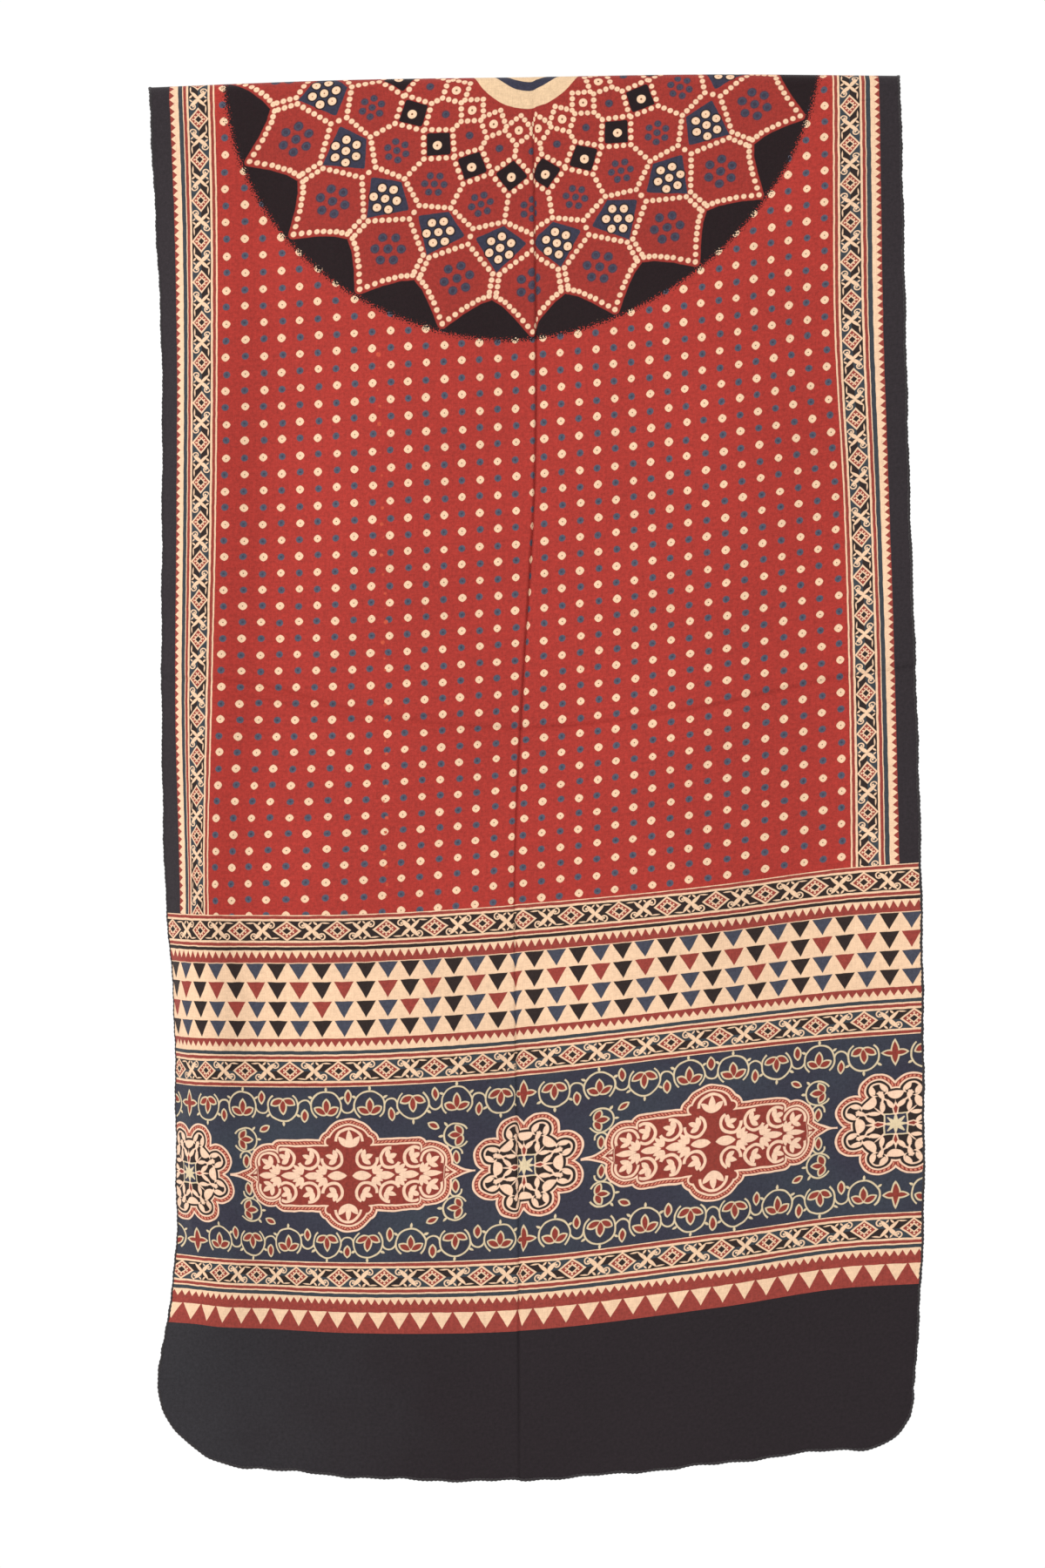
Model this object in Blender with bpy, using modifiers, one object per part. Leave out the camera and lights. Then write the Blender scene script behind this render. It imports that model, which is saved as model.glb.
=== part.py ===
"""Ajrakh stole: one length of block-printed cloth, hung double over an unseen bar.

Frame: +Z up, the printed front faces -Y, and the origin is on the crown of the top fold, half-way
across.  The flat cloth is measured by two lengths: "across" (along the weft, 0 in the middle) and
"along" (down the warp, 0 at the crown, positive on the front layer, negative on the back one).
"""

import bmesh
import bpy
import numpy as np

# Driving sizes, in metres.
WIDTH = 0.570                 # flat width, edge to edge
FRONT_LENGTH = 1.053          # crown to front hem, at mid width
BACK_LENGTH = 1.003           # crown to back hem, at mid width
HEM_SKEW = 0.058              # how much longer the front is for each metre to the right
THICKNESS = 0.0013            # solid sheet that stands for the cloth and its rolled hems
FOLD_RADIUS = 0.0090          # bend of the cloth over the bar, at mid thickness

# Where a weft thread lies when the stole hangs.  Each row is a section at one distance along the
# cloth; the columns are stations across it, from the left edge to the right one.
STATIONS = (-0.285, -0.265, -0.240, -0.200, -0.140, 0.000, 0.140, 0.235, 0.285)

# Sideways move, in mm: the left side is drawn in, most of all beside the end borders.
#          along   edge  -265  -240  -200  -140   mid   140   235  edge
SIDEWAYS = (
    (0.000, (5.0, 4.0, 3.0, 3.5, 4.0, 4.0, 0.0, -2.0, -2.6)),
    (0.100, (10.0, 8.0, 6.0, 6.0, 6.0, 4.4, 0.5, -1.5, -0.5)),
    (0.190, (14.0, 9.5, 6.5, 6.8, 6.9, 4.7, 1.1, -0.8, 1.2)),
    (0.330, (14.4, 9.0, 5.4, 6.2, 7.0, 5.6, 4.7, 6.4, 4.4)),
    (0.470, (14.3, 8.0, 2.6, 3.4, 4.5, 5.2, 6.4, 10.5, 9.0)),
    (0.610, (17.0, 11.5, 1.0, -4.6, -0.5, 3.2, 6.0, 12.0, 13.0)),
    (0.700, (23.0, 12.0, 4.0, -1.0, 0.0, 3.5, 9.0, 12.0, 14.5)),
    (0.760, (24.0, 16.0, 7.0, 0.5, 0.5, 3.7, 10.0, 12.0, 15.0)),
    (0.820, (24.6, 16.0, 9.0, 3.5, 2.0, 3.9, 11.5, 12.0, 15.5)),
    (0.880, (25.3, 23.0, 17.0, 7.6, 0.5, 3.5, 11.0, 12.0, 15.0)),
    (0.950, (18.0, 17.5, 11.0, 7.0, 1.5, 2.0, 9.0, 11.0, 11.5)),
    (1.000, (9.7, 9.5, 7.5, 5.0, 1.5, 1.5, 7.0, 8.0, 8.0)),
    (1.070, (8.0, 8.0, 6.5, 4.0, 1.5, 1.0, 6.0, 7.0, 5.0)),
)

# Height above a straight hang, in mm: the right half is pulled up over the bar.
RISE = (
    (0.000, (-9.0, -8.8, -8.0, -6.0, -3.0, 3.0, 15.0, 28.0, 33.0)),
    (0.190, (-12.0, -11.6, -10.8, -8.0, -4.5, 4.6, 18.7, 34.2, 40.0)),
    (0.330, (-10.0, -10.0, -9.7, -9.0, -6.8, 2.1, 18.9, 36.2, 43.0)),
    (0.470, (-6.0, -6.0, -5.6, -5.8, -5.4, 3.5, 22.0, 39.8, 46.0)),
    (0.625, (-3.0, -3.0, -2.9, -2.6, -1.0, 10.0, 27.0, 42.0, 47.0)),
    (0.820, (1.0, 1.2, 1.4, 0.5, 1.0, 11.0, 33.0, 45.0, 50.0)),
    (0.940, (11.0, 11.0, 9.4, 8.0, 6.0, 10.2, 31.0, 47.0, 51.0)),
    (1.070, (11.0, 11.0, 9.4, 8.0, 6.0, 10.8, 31.0, 47.0, 51.0)),
)

# Depth of the flutes, in mm: negative comes forward, positive goes back.
FLUTES = (
    (0.000, (0.0, 0.0, 0.0, 0.0, 0.0, 0.0, 0.0, 0.0, 0.0)),
    (0.100, (4.0, -2.0, -5.0, 0.5, -2.0, 0.0, -1.0, 1.0, -2.0)),
    (0.190, (7.0, -3.0, -7.0, 1.5, -4.0, 0.0, -3.0, 2.0, -3.0)),
    (0.330, (8.0, -3.0, -8.0, 2.0, -5.0, -1.0, -5.0, 3.0, -4.0)),
    (0.470, (7.0, -3.0, -8.0, 1.0, -4.0, 1.0, -5.0, 4.0, -4.0)),
    (0.610, (9.0, -5.0, -10.0, -1.0, -4.0, 0.0, -4.0, 4.0, -3.0)),
    (0.700, (11.0, -5.0, -14.0, -3.0, -5.0, 0.0, -4.0, 3.0, -2.0)),
    (0.820, (10.0, -8.0, -15.0, -7.0, -5.0, 1.0, -3.0, 3.0, -1.0)),
    (0.880, (4.0, -12.0, -16.0, -9.0, -4.0, 0.0, -3.0, 2.0, 1.0)),
    (0.950, (-5.0, -11.0, -12.0, -6.0, -3.0, 0.0, -3.0, 2.0, 1.0)),
    (1.000, (-6.0, -7.0, -8.0, -4.0, -2.0, 0.0, -2.0, 0.0, -1.0)),
    (1.070, (-6.0, -5.0, -5.0, -3.0, -2.0, 0.0, -2.0, 0.0, -2.0)),
)

# The crown of the fold dips to the left: distance across, height in mm.
CROWN = ((-0.285, -7.7), (-0.140, -2.2), (0.000, 0.0), (0.140, 2.0), (0.285, 1.0))

# Pressed creases.  The centre one runs down the front, and takes up a little of the width.  Flutes
# and creases come in over SETTLE below the fold.
SETTLE = 0.05
CENTRE_CREASE = ((0.00, 0.004), (0.30, 0.004), (0.46, -0.005), (1.07, -0.003))   # along, across
CENTRE_DEPTH = 0.0036
CENTRE_HALF_WIDTH = 0.0050
CENTRE_TAKE_UP = 0.0056
CROSS_CREASE = ((-0.285, 0.440), (-0.200, 0.448), (-0.130, 0.468), (-0.040, 0.485), (0.285, 0.486))
CROSS_DEPTH = 0.0012
CROSS_HALF_WIDTH = 0.0060

# The hem's corners are cut round: radius at the left and at the right.
CORNER_RADII = (0.066, 0.036)

# The back layer hangs plainly: a little narrower than the front, in slow flutes.
BACK_NARROWING = 0.972
BACK_FLUTE_PITCH = 0.190
BACK_FLUTE_DEPTH = 0.007
BACK_SETTLE = 0.40            # how far below the fold the back flutes are at their full depth

# Size of the cells that the sheet is made of.
ACROSS_STEP = 0.0250
SIDE_STEP = 0.0100
SIDE_BAND = 0.070
RIGHT_BAND = 0.030
ALONG_STEP = 0.0330
CORNER_STEP = 0.0120
CORNER_BAND = 0.075
CROSS_BAND = (0.436, 0.496)   # where the cross crease runs, along
BACK_STEP = 0.0550
BEND_CELLS = 6
BEND_SHARE = 1.6              # cells of the bend reach this many bend lengths to each side

MADDER_RED = (0.330, 0.036, 0.030, 1.0)

MM = 0.001
BEND_LENGTH = FOLD_RADIUS * np.pi / 2.0
BEND_GAIN = BEND_LENGTH - FOLD_RADIUS


def clear_scene():
    for thing in list(bpy.data.objects):
        bpy.data.objects.remove(thing, do_unlink=True)


def blend_weights(knots, at):
    """Weights of a smooth curve through knots: one row for each value in at."""
    knots = np.asarray(knots, dtype=float)
    at = np.clip(at, knots[0], knots[-1])
    cell = np.clip(np.searchsorted(knots, at, side="right") - 1, 0, len(knots) - 2)
    gap = np.diff(knots)[cell][:, None]
    t = (at - knots[cell])[:, None] / gap
    unit = np.eye(len(knots))
    slope = np.gradient(unit, knots, axis=0)
    near = (2.0 * t**3 - 3.0 * t**2 + 1.0) * unit[cell] + (t**3 - 2.0 * t**2 + t) * gap * slope[cell]
    far = (3.0 * t**2 - 2.0 * t**3) * unit[cell + 1] + (t**3 - t**2) * gap * slope[cell + 1]
    return near + far


def table_value(table, across, along):
    """Smooth value of a table of sections, in metres, at points of the flat cloth."""
    rows = np.array([row for _, row in table]) * MM
    down = blend_weights([section for section, _ in table], along)
    over = blend_weights(STATIONS, across)
    return np.einsum("ps,sc,pc->p", down, rows, over)


def line_value(pairs, at):
    """Smooth value of a line given by a few pairs."""
    knots = [pair[0] for pair in pairs]
    return blend_weights(knots, at) @ np.array([pair[1] for pair in pairs])


def dent(distance, half_width):
    """A soft trough: 1 on its line, 0 from half_width outwards."""
    t = np.clip(np.abs(distance) / half_width, 0.0, 1.0)
    return (1.0 - t) ** 2 * (1.0 + 2.0 * t)


def hang(across, along):
    """Place of each point of the flat cloth when the stole hangs."""
    crown = line_value(CROWN, across) * MM
    crown_along = table_value(RISE, across, np.zeros_like(across)) - crown - BEND_GAIN
    front = along > crown_along

    level = np.abs(along - crown_along)
    off_crease = across - line_value(CENTRE_CREASE, along)
    take_up = 0.5 * CENTRE_TAKE_UP * np.clip(off_crease / CENTRE_HALF_WIDTH, -1.0, 1.0)
    x = across + table_value(SIDEWAYS, across, level) - take_up

    rise = table_value(RISE, across, np.where(front, along, 0.0))
    path = along + crown + BEND_GAIN - rise
    run = np.abs(path)
    turn = np.minimum(run / FOLD_RADIUS, np.pi / 2.0)
    straight = np.maximum(run - BEND_LENGTH, 0.0)
    z = crown - FOLD_RADIUS * (1.0 - np.cos(turn)) - straight
    side = FOLD_RADIUS * np.sin(turn)

    settle = np.clip(straight / SETTLE, 0.0, 1.0)
    creases = CENTRE_DEPTH * dent(off_crease, CENTRE_HALF_WIDTH)
    off_cross = along - line_value(CROSS_CREASE, across)
    creases = creases + CROSS_DEPTH * dent(off_cross, CROSS_HALF_WIDTH)
    front_y = -side + settle * (table_value(FLUTES, across, level) + creases)

    wave = 0.5 - 0.5 * np.cos(2.0 * np.pi * across / BACK_FLUTE_PITCH)
    back_y = side + BACK_FLUTE_DEPTH * wave * np.clip(straight / BACK_SETTLE, 0.0, 1.0)
    back_x = x * (1.0 - (1.0 - BACK_NARROWING) * settle)
    return np.stack([np.where(front, x, back_x), np.where(front, front_y, back_y), z], axis=1)


def steps(start, stop, size):
    """Even steps from start up to stop, leaving stop out."""
    count = max(1, round((stop - start) / size))
    return [start + (stop - start) * k / count for k in range(count)]


def across_lines():
    """Grid lines across the cloth: closer at the drawn-in left side and at the centre crease."""
    half = WIDTH / 2.0
    crease = 2.0 * CENTRE_HALF_WIDTH
    lines = steps(-half, -half + SIDE_BAND, SIDE_STEP)
    lines += steps(-half + SIDE_BAND, -crease, ACROSS_STEP)
    lines += steps(-crease, crease, CENTRE_HALF_WIDTH)
    lines += steps(crease, half - RIGHT_BAND, ACROSS_STEP)
    lines += steps(half - RIGHT_BAND, half, SIDE_STEP)
    return np.array(lines + [half])


def along_lines():
    """Grid lines down the cloth as shares of a layer: -1 is the back hem, 0 the crown, 1 the front."""
    corner = CORNER_BAND / FRONT_LENGTH
    cross = (CROSS_BAND[0] / FRONT_LENGTH, CROSS_BAND[1] / FRONT_LENGTH)
    bend = BEND_SHARE * BEND_LENGTH / FRONT_LENGTH
    lines = steps(-1.0, -bend, BACK_STEP / BACK_LENGTH)
    lines += steps(-bend, bend, 2.0 * bend / BEND_CELLS)
    lines += steps(bend, cross[0], ALONG_STEP / FRONT_LENGTH)
    lines += steps(cross[0], cross[1], CORNER_STEP / FRONT_LENGTH)
    lines += steps(cross[1], 1.0 - corner, ALONG_STEP / FRONT_LENGTH)
    lines += steps(1.0 - corner, 1.0, CORNER_STEP / FRONT_LENGTH)
    return np.array(lines + [1.0])


def corner_rise(across):
    """How far the round corners lift the hem above a straight cut."""
    half = WIDTH / 2.0
    radius = np.where(across < 0.0, CORNER_RADII[0], CORNER_RADII[1])
    into = np.clip(np.abs(across) - (half - radius), 0.0, radius)
    return radius - np.sqrt(radius**2 - into**2)


def flat_points():
    """The flat cloth's grid points, row by row from the back hem to the front one."""
    across = across_lines()
    share = along_lines()
    over, down = np.meshgrid(across, share)
    crown = line_value(CROWN, over.ravel()) * MM
    start = table_value(RISE, over.ravel(), np.zeros(over.size)) - crown - BEND_GAIN
    start = start.reshape(over.shape)
    front_hem = FRONT_LENGTH + HEM_SKEW * over - corner_rise(over)
    back_hem = -BACK_LENGTH + HEM_SKEW * over + corner_rise(over)
    along = np.where(down > 0.0, start + (front_hem - start) * down, start - (back_hem - start) * down)
    return over.ravel(), along.ravel(), len(across), len(share)


def cloth_material():
    material = bpy.data.materials.new("printed_cotton")
    material.use_nodes = True
    shader = material.node_tree.nodes["Principled BSDF"]
    shader.inputs["Base Color"].default_value = MADDER_RED
    shader.inputs["Roughness"].default_value = 0.78
    shader.inputs["Metallic"].default_value = 0.0
    shader.inputs["Sheen Weight"].default_value = 0.25
    material.diffuse_color = MADDER_RED
    return material


def build_cloth(collection):
    """One sheet, bent over the bar, hung in its flutes and given its thickness."""
    across, along, columns, rows = flat_points()
    places = hang(across, along)
    mesh = bpy.data.meshes.new("cloth")
    shape = bmesh.new()
    bmesh.ops.create_grid(shape, x_segments=columns - 1, y_segments=rows - 1, size=1.0)
    order = sorted(shape.verts, key=lambda v: (round(v.co.y, 5), round(v.co.x, 5)))
    for vertex, place in zip(order, places):
        vertex.co = place
    bmesh.ops.recalc_face_normals(shape, faces=shape.faces)
    shape.to_mesh(mesh)
    shape.free()
    mesh.materials.append(cloth_material())

    cloth = bpy.data.objects.new("cloth", mesh)
    collection.objects.link(cloth)
    thicken = cloth.modifiers.new("thickness", "SOLIDIFY")
    thicken.thickness = THICKNESS
    thicken.offset = 0.0
    mesh.shade_smooth()
    return cloth


def main():
    clear_scene()
    collection = bpy.data.collections.new("ajrakh_stole")
    bpy.context.scene.collection.children.link(collection)
    build_cloth(collection)


main()
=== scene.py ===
"""Looks of the ajrakh stole: fine drape, block print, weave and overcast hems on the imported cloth.

Frame as in the CAD model: +Z up, the printed front faces -Y, the origin on the crown of the top fold.
The flat cloth is measured "across" (weft, 0 in the middle) and "along" (warp, 0 at the crown).
"""

import math

import bmesh
import bpy
import numpy as np
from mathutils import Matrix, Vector


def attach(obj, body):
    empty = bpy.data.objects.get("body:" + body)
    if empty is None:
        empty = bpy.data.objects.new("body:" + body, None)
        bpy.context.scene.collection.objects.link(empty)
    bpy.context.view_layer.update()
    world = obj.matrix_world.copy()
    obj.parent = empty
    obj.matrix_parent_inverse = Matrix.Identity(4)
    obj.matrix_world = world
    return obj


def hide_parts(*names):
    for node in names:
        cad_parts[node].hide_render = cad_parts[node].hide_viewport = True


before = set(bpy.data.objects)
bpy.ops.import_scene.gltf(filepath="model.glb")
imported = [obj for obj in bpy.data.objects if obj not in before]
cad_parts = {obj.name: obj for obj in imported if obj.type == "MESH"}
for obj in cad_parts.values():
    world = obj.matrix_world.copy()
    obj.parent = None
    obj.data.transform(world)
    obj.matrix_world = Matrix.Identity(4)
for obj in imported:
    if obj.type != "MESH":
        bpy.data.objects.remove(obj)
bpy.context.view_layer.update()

# ---------------------------------------------------------------- the cloth's own sizes, in metres
WIDTH = 0.570
HALF = WIDTH / 2.0
FRONT_LENGTH = 1.053
BACK_LENGTH = 1.003
HEM_SKEW = 0.058
CORNER_RADII = (0.066, 0.036)
FOLD_RADIUS = 0.0090
SKIN = 0.0006                 # thickness of the cloth itself
SETTLE = 0.05                 # how far below the fold the front hangs freely
BACK_SETTLE = 0.40            # and how far below it the back's flutes are full
BEND = 0.016                  # reach of the fold's bend, along the cloth
MEDALLION_END = 0.202         # where the rows of the medallion stop, in front
BACK_MEDALLION_END = 0.242    # and behind
CREASE_BAND = 0.012           # the middle crease has closer columns within this
CROSS_BAND = 0.010            # and the cross crease closer rows
FLUTE_EDGE = -0.190           # left of this the flutes need closer columns
EDGE_BAND = 0.012             # the side edges waver within this
MM = 0.001

# ---------------------------------------------------------------- how it hangs (as in the CAD model)
STATIONS = (-0.285, -0.265, -0.240, -0.200, -0.140, 0.000, 0.140, 0.235, 0.285)

# Sideways move, in mm, for each section along the cloth. Both tables are rounded by hand from the photo's
# outline and stripes, as a scratch script measured them.
SIDEWAYS = (
    (0.000, (5.0, 4.0, 3.0, 3.5, 4.0, 4.0, 0.0, -2.0, -2.6)),
    (0.100, (10.0, 8.0, 6.0, 6.0, 6.0, 4.4, 0.5, -1.5, -0.5)),
    (0.190, (14.0, 9.5, 6.5, 6.8, 6.9, 4.7, 1.1, -0.8, 1.2)),
    (0.330, (14.4, 9.0, 5.4, 6.2, 7.0, 5.6, 4.7, 6.4, 4.4)),
    (0.470, (14.3, 8.0, 2.6, 3.4, 4.5, 5.2, 6.4, 10.5, 9.0)),
    (0.610, (17.0, 11.5, 1.0, -4.6, -0.5, 3.2, 6.0, 12.0, 13.0)),
    (0.700, (23.0, 12.0, 4.0, -1.0, 0.0, 3.5, 9.0, 12.0, 14.5)),
    (0.760, (24.0, 16.0, 7.0, 0.5, 0.5, 3.7, 10.0, 12.0, 15.0)),
    (0.820, (24.6, 16.0, 9.0, 3.5, 2.0, 3.9, 11.5, 12.0, 15.5)),
    (0.880, (25.3, 23.0, 17.0, 7.6, 0.5, 3.5, 11.0, 12.0, 15.0)),
    (0.950, (18.0, 17.5, 11.0, 7.0, 1.5, 2.0, 9.0, 11.0, 11.5)),
    (1.000, (9.7, 9.5, 7.5, 5.0, 1.5, 1.5, 7.0, 8.0, 8.0)),
    (1.070, (8.0, 8.0, 6.5, 4.0, 1.5, 1.0, 6.0, 7.0, 5.0)),
)

# Height above a straight hang, in mm.
RISE = (
    (0.000, (-9.0, -8.8, -8.0, -6.0, -3.0, 3.0, 15.0, 28.0, 33.0)),
    (0.190, (-12.0, -11.6, -10.8, -8.0, -4.5, 4.6, 18.7, 34.2, 40.0)),
    (0.330, (-10.0, -10.0, -9.7, -9.0, -6.8, 2.1, 18.9, 36.2, 43.0)),
    (0.470, (-6.0, -6.0, -5.6, -5.8, -5.4, 3.5, 22.0, 39.8, 46.0)),
    (0.625, (-3.0, -3.0, -2.9, -2.6, -1.0, 10.0, 27.0, 42.0, 47.0)),
    (0.820, (1.0, 1.2, 1.4, 0.5, 1.0, 11.0, 33.0, 45.0, 50.0)),
    (0.940, (11.0, 11.0, 9.4, 8.0, 6.0, 10.2, 31.0, 47.0, 51.0)),
    (1.070, (11.0, 11.0, 9.4, 8.0, 6.0, 10.8, 31.0, 47.0, 51.0)),
)

# Depth of the flutes, in mm: negative comes forward, positive goes back.
FLUTES = (
    (0.000, (0.0, 0.0, 0.0, 0.0, 0.0, 0.0, 0.0, 0.0, 0.0)),
    (0.100, (4.0, -2.0, -5.0, 0.5, -2.0, 0.0, -1.0, 1.0, -2.0)),
    (0.190, (7.0, -3.0, -7.0, 1.5, -4.0, 0.0, -3.0, 2.0, -3.0)),
    (0.330, (8.0, -3.0, -8.0, 2.0, -5.0, -1.0, -5.0, 3.0, -4.0)),
    (0.470, (7.0, -3.0, -8.0, 1.0, -4.0, 1.0, -5.0, 4.0, -4.0)),
    (0.610, (9.0, -5.0, -10.0, -1.0, -4.0, 0.0, -4.0, 4.0, -3.0)),
    (0.700, (11.0, -5.0, -14.0, -3.0, -5.0, 0.0, -4.0, 3.0, -2.0)),
    (0.820, (10.0, -8.0, -15.0, -7.0, -5.0, 1.0, -3.0, 3.0, -1.0)),
    (0.880, (4.0, -12.0, -16.0, -9.0, -4.0, 0.0, -3.0, 2.0, 1.0)),
    (0.950, (-5.0, -11.0, -12.0, -6.0, -3.0, 0.0, -3.0, 2.0, 1.0)),
    (1.000, (-6.0, -7.0, -8.0, -4.0, -2.0, 0.0, -2.0, 0.0, -1.0)),
    (1.070, (-6.0, -5.0, -5.0, -3.0, -2.0, 0.0, -2.0, 0.0, -2.0)),
)

CROWN = ((-0.285, -7.7), (-0.140, -2.2), (0.000, 0.0), (0.140, 2.0), (0.285, 1.0))

CENTRE_CREASE = ((0.00, 0.004), (0.30, 0.004), (0.46, -0.005), (1.07, -0.003))   # along, across
CENTRE_DEPTH = (
    (0.00, 0.0016), (0.20, 0.0022), (0.47, 0.0022), (0.62, 0.0018), (0.92, 0.0016), (1.07, 0.0006),
)
CENTRE_HALF_WIDTH = 0.0050
CENTRE_TAKE_UP = 0.0056
CROSS_CREASE = ((-0.285, 0.440), (-0.200, 0.448), (-0.130, 0.468), (-0.040, 0.485), (0.285, 0.486))
CROSS_DEPTH = 0.0019
CROSS_HALF_WIDTH = 0.0042

BACK_NARROWING = 0.972
BACK_FLUTE_PITCH = 0.190
BACK_FLUTE_DEPTH = 0.007

BEND_LENGTH = FOLD_RADIUS * np.pi / 2.0
BEND_GAIN = BEND_LENGTH - FOLD_RADIUS

# ---------------------------------------------------------------- layout of the print
MEDALLION_ALONG = -0.020      # the medallion's centre lies just over the fold, on the back layer
FIELD_HALF = 0.235            # half the width between the side borders
END_LINE = 0.625              # the end borders start here, at mid width
END_SKEW = 0.022
BACK_END_LINE = 0.572         # the hidden end starts nearer to the medallion
PANEL_START = 0.1287          # the figured panel, measured from the end line
PANEL_STOP = 0.2626
DARK_START = 0.3170           # the plain dark end


def blend_weights(knots, at):
    """Weights of a smooth curve through knots: one row for each value in at."""
    knots = np.asarray(knots, dtype=float)
    at = np.clip(at, knots[0], knots[-1])
    cell = np.clip(np.searchsorted(knots, at, side="right") - 1, 0, len(knots) - 2)
    gap = np.diff(knots)[cell][:, None]
    t = (at - knots[cell])[:, None] / gap
    unit = np.eye(len(knots))
    slope = np.gradient(unit, knots, axis=0)
    near = (2.0 * t**3 - 3.0 * t**2 + 1.0) * unit[cell] + (t**3 - 2.0 * t**2 + t) * gap * slope[cell]
    far = (3.0 * t**2 - 2.0 * t**3) * unit[cell + 1] + (t**3 - t**2) * gap * slope[cell + 1]
    return near + far


def table_value(table, across, along):
    """Smooth value of a table of sections, in metres, at points of the flat cloth."""
    rows = np.array([row for _, row in table]) * MM
    down = blend_weights([section for section, _ in table], along)
    over = blend_weights(STATIONS, across)
    return np.einsum("ps,sc,pc->p", down, rows, over)


def line_value(pairs, at):
    """Smooth value of a line given by a few pairs."""
    knots = [pair[0] for pair in pairs]
    return blend_weights(knots, at) @ np.array([pair[1] for pair in pairs])


def dent(distance, half_width):
    """A soft trough: 1 on its line, 0 from half_width outwards."""
    t = np.clip(np.abs(distance) / half_width, 0.0, 1.0)
    return (1.0 - t) ** 2 * (1.0 + 2.0 * t)


def crown_along(across):
    """Where the crown of the fold crosses the flat cloth."""
    return table_value(RISE, across, np.zeros_like(across)) - line_value(CROWN, across) * MM - BEND_GAIN


def hang(across, along):
    """Place of each point of the flat cloth when the stole hangs."""
    crown = line_value(CROWN, across) * MM
    start = crown_along(across)
    front = along > start
    level = np.abs(along - start)
    off_crease = across - line_value(CENTRE_CREASE, along)
    take_up = 0.5 * CENTRE_TAKE_UP * np.clip(off_crease / CENTRE_HALF_WIDTH, -1.0, 1.0)
    x = across + table_value(SIDEWAYS, across, level) - take_up

    rise = table_value(RISE, across, np.where(front, along, 0.0))
    path = along + crown + BEND_GAIN - rise
    run = np.abs(path)
    turn = np.minimum(run / FOLD_RADIUS, np.pi / 2.0)
    straight = np.maximum(run - BEND_LENGTH, 0.0)
    z = crown - FOLD_RADIUS * (1.0 - np.cos(turn)) - straight
    side = FOLD_RADIUS * np.sin(turn)

    settle = np.clip(straight / SETTLE, 0.0, 1.0)
    creases = line_value(CENTRE_DEPTH, along) * dent(off_crease, CENTRE_HALF_WIDTH)
    off_cross = along - line_value(CROSS_CREASE, across)
    creases = creases + CROSS_DEPTH * dent(off_cross, CROSS_HALF_WIDTH)
    front_y = -side + settle * (table_value(FLUTES, across, level) + creases)

    wave = 0.5 - 0.5 * np.cos(2.0 * np.pi * across / BACK_FLUTE_PITCH)
    back_y = side + BACK_FLUTE_DEPTH * wave * np.clip(straight / BACK_SETTLE, 0.0, 1.0)
    back_x = x * (1.0 - (1.0 - BACK_NARROWING) * settle)
    return np.stack([np.where(front, x, back_x), np.where(front, front_y, back_y), z], axis=1)


def corner_rise(across):
    """How far the round corners lift the hem above a straight cut."""
    radius = np.where(across < 0.0, CORNER_RADII[0], CORNER_RADII[1])
    into = np.clip(np.abs(across) - (HALF - radius), 0.0, radius)
    return radius - np.sqrt(radius**2 - into**2)


# ---------------------------------------------------------------- maths written as shader nodes
class Num:
    """A number in a material: Python operators on it become Math nodes."""

    def __init__(self, pen, socket):
        self.pen = pen
        self.socket = socket

    def __add__(self, other):
        return self.pen.math("ADD", self, other)

    def __radd__(self, other):
        return self.pen.math("ADD", self, other)

    def __sub__(self, other):
        return self.pen.math("SUBTRACT", self, other)

    def __rsub__(self, other):
        return self.pen.math("SUBTRACT", other, self)

    def __mul__(self, other):
        return self.pen.math("MULTIPLY", self, other)

    def __rmul__(self, other):
        return self.pen.math("MULTIPLY", self, other)

    def __truediv__(self, other):
        return self.pen.math("DIVIDE", self, other)

    def __neg__(self):
        return self.pen.math("MULTIPLY", self, -1.0)

    def __abs__(self):
        return self.pen.math("ABSOLUTE", self)


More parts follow.
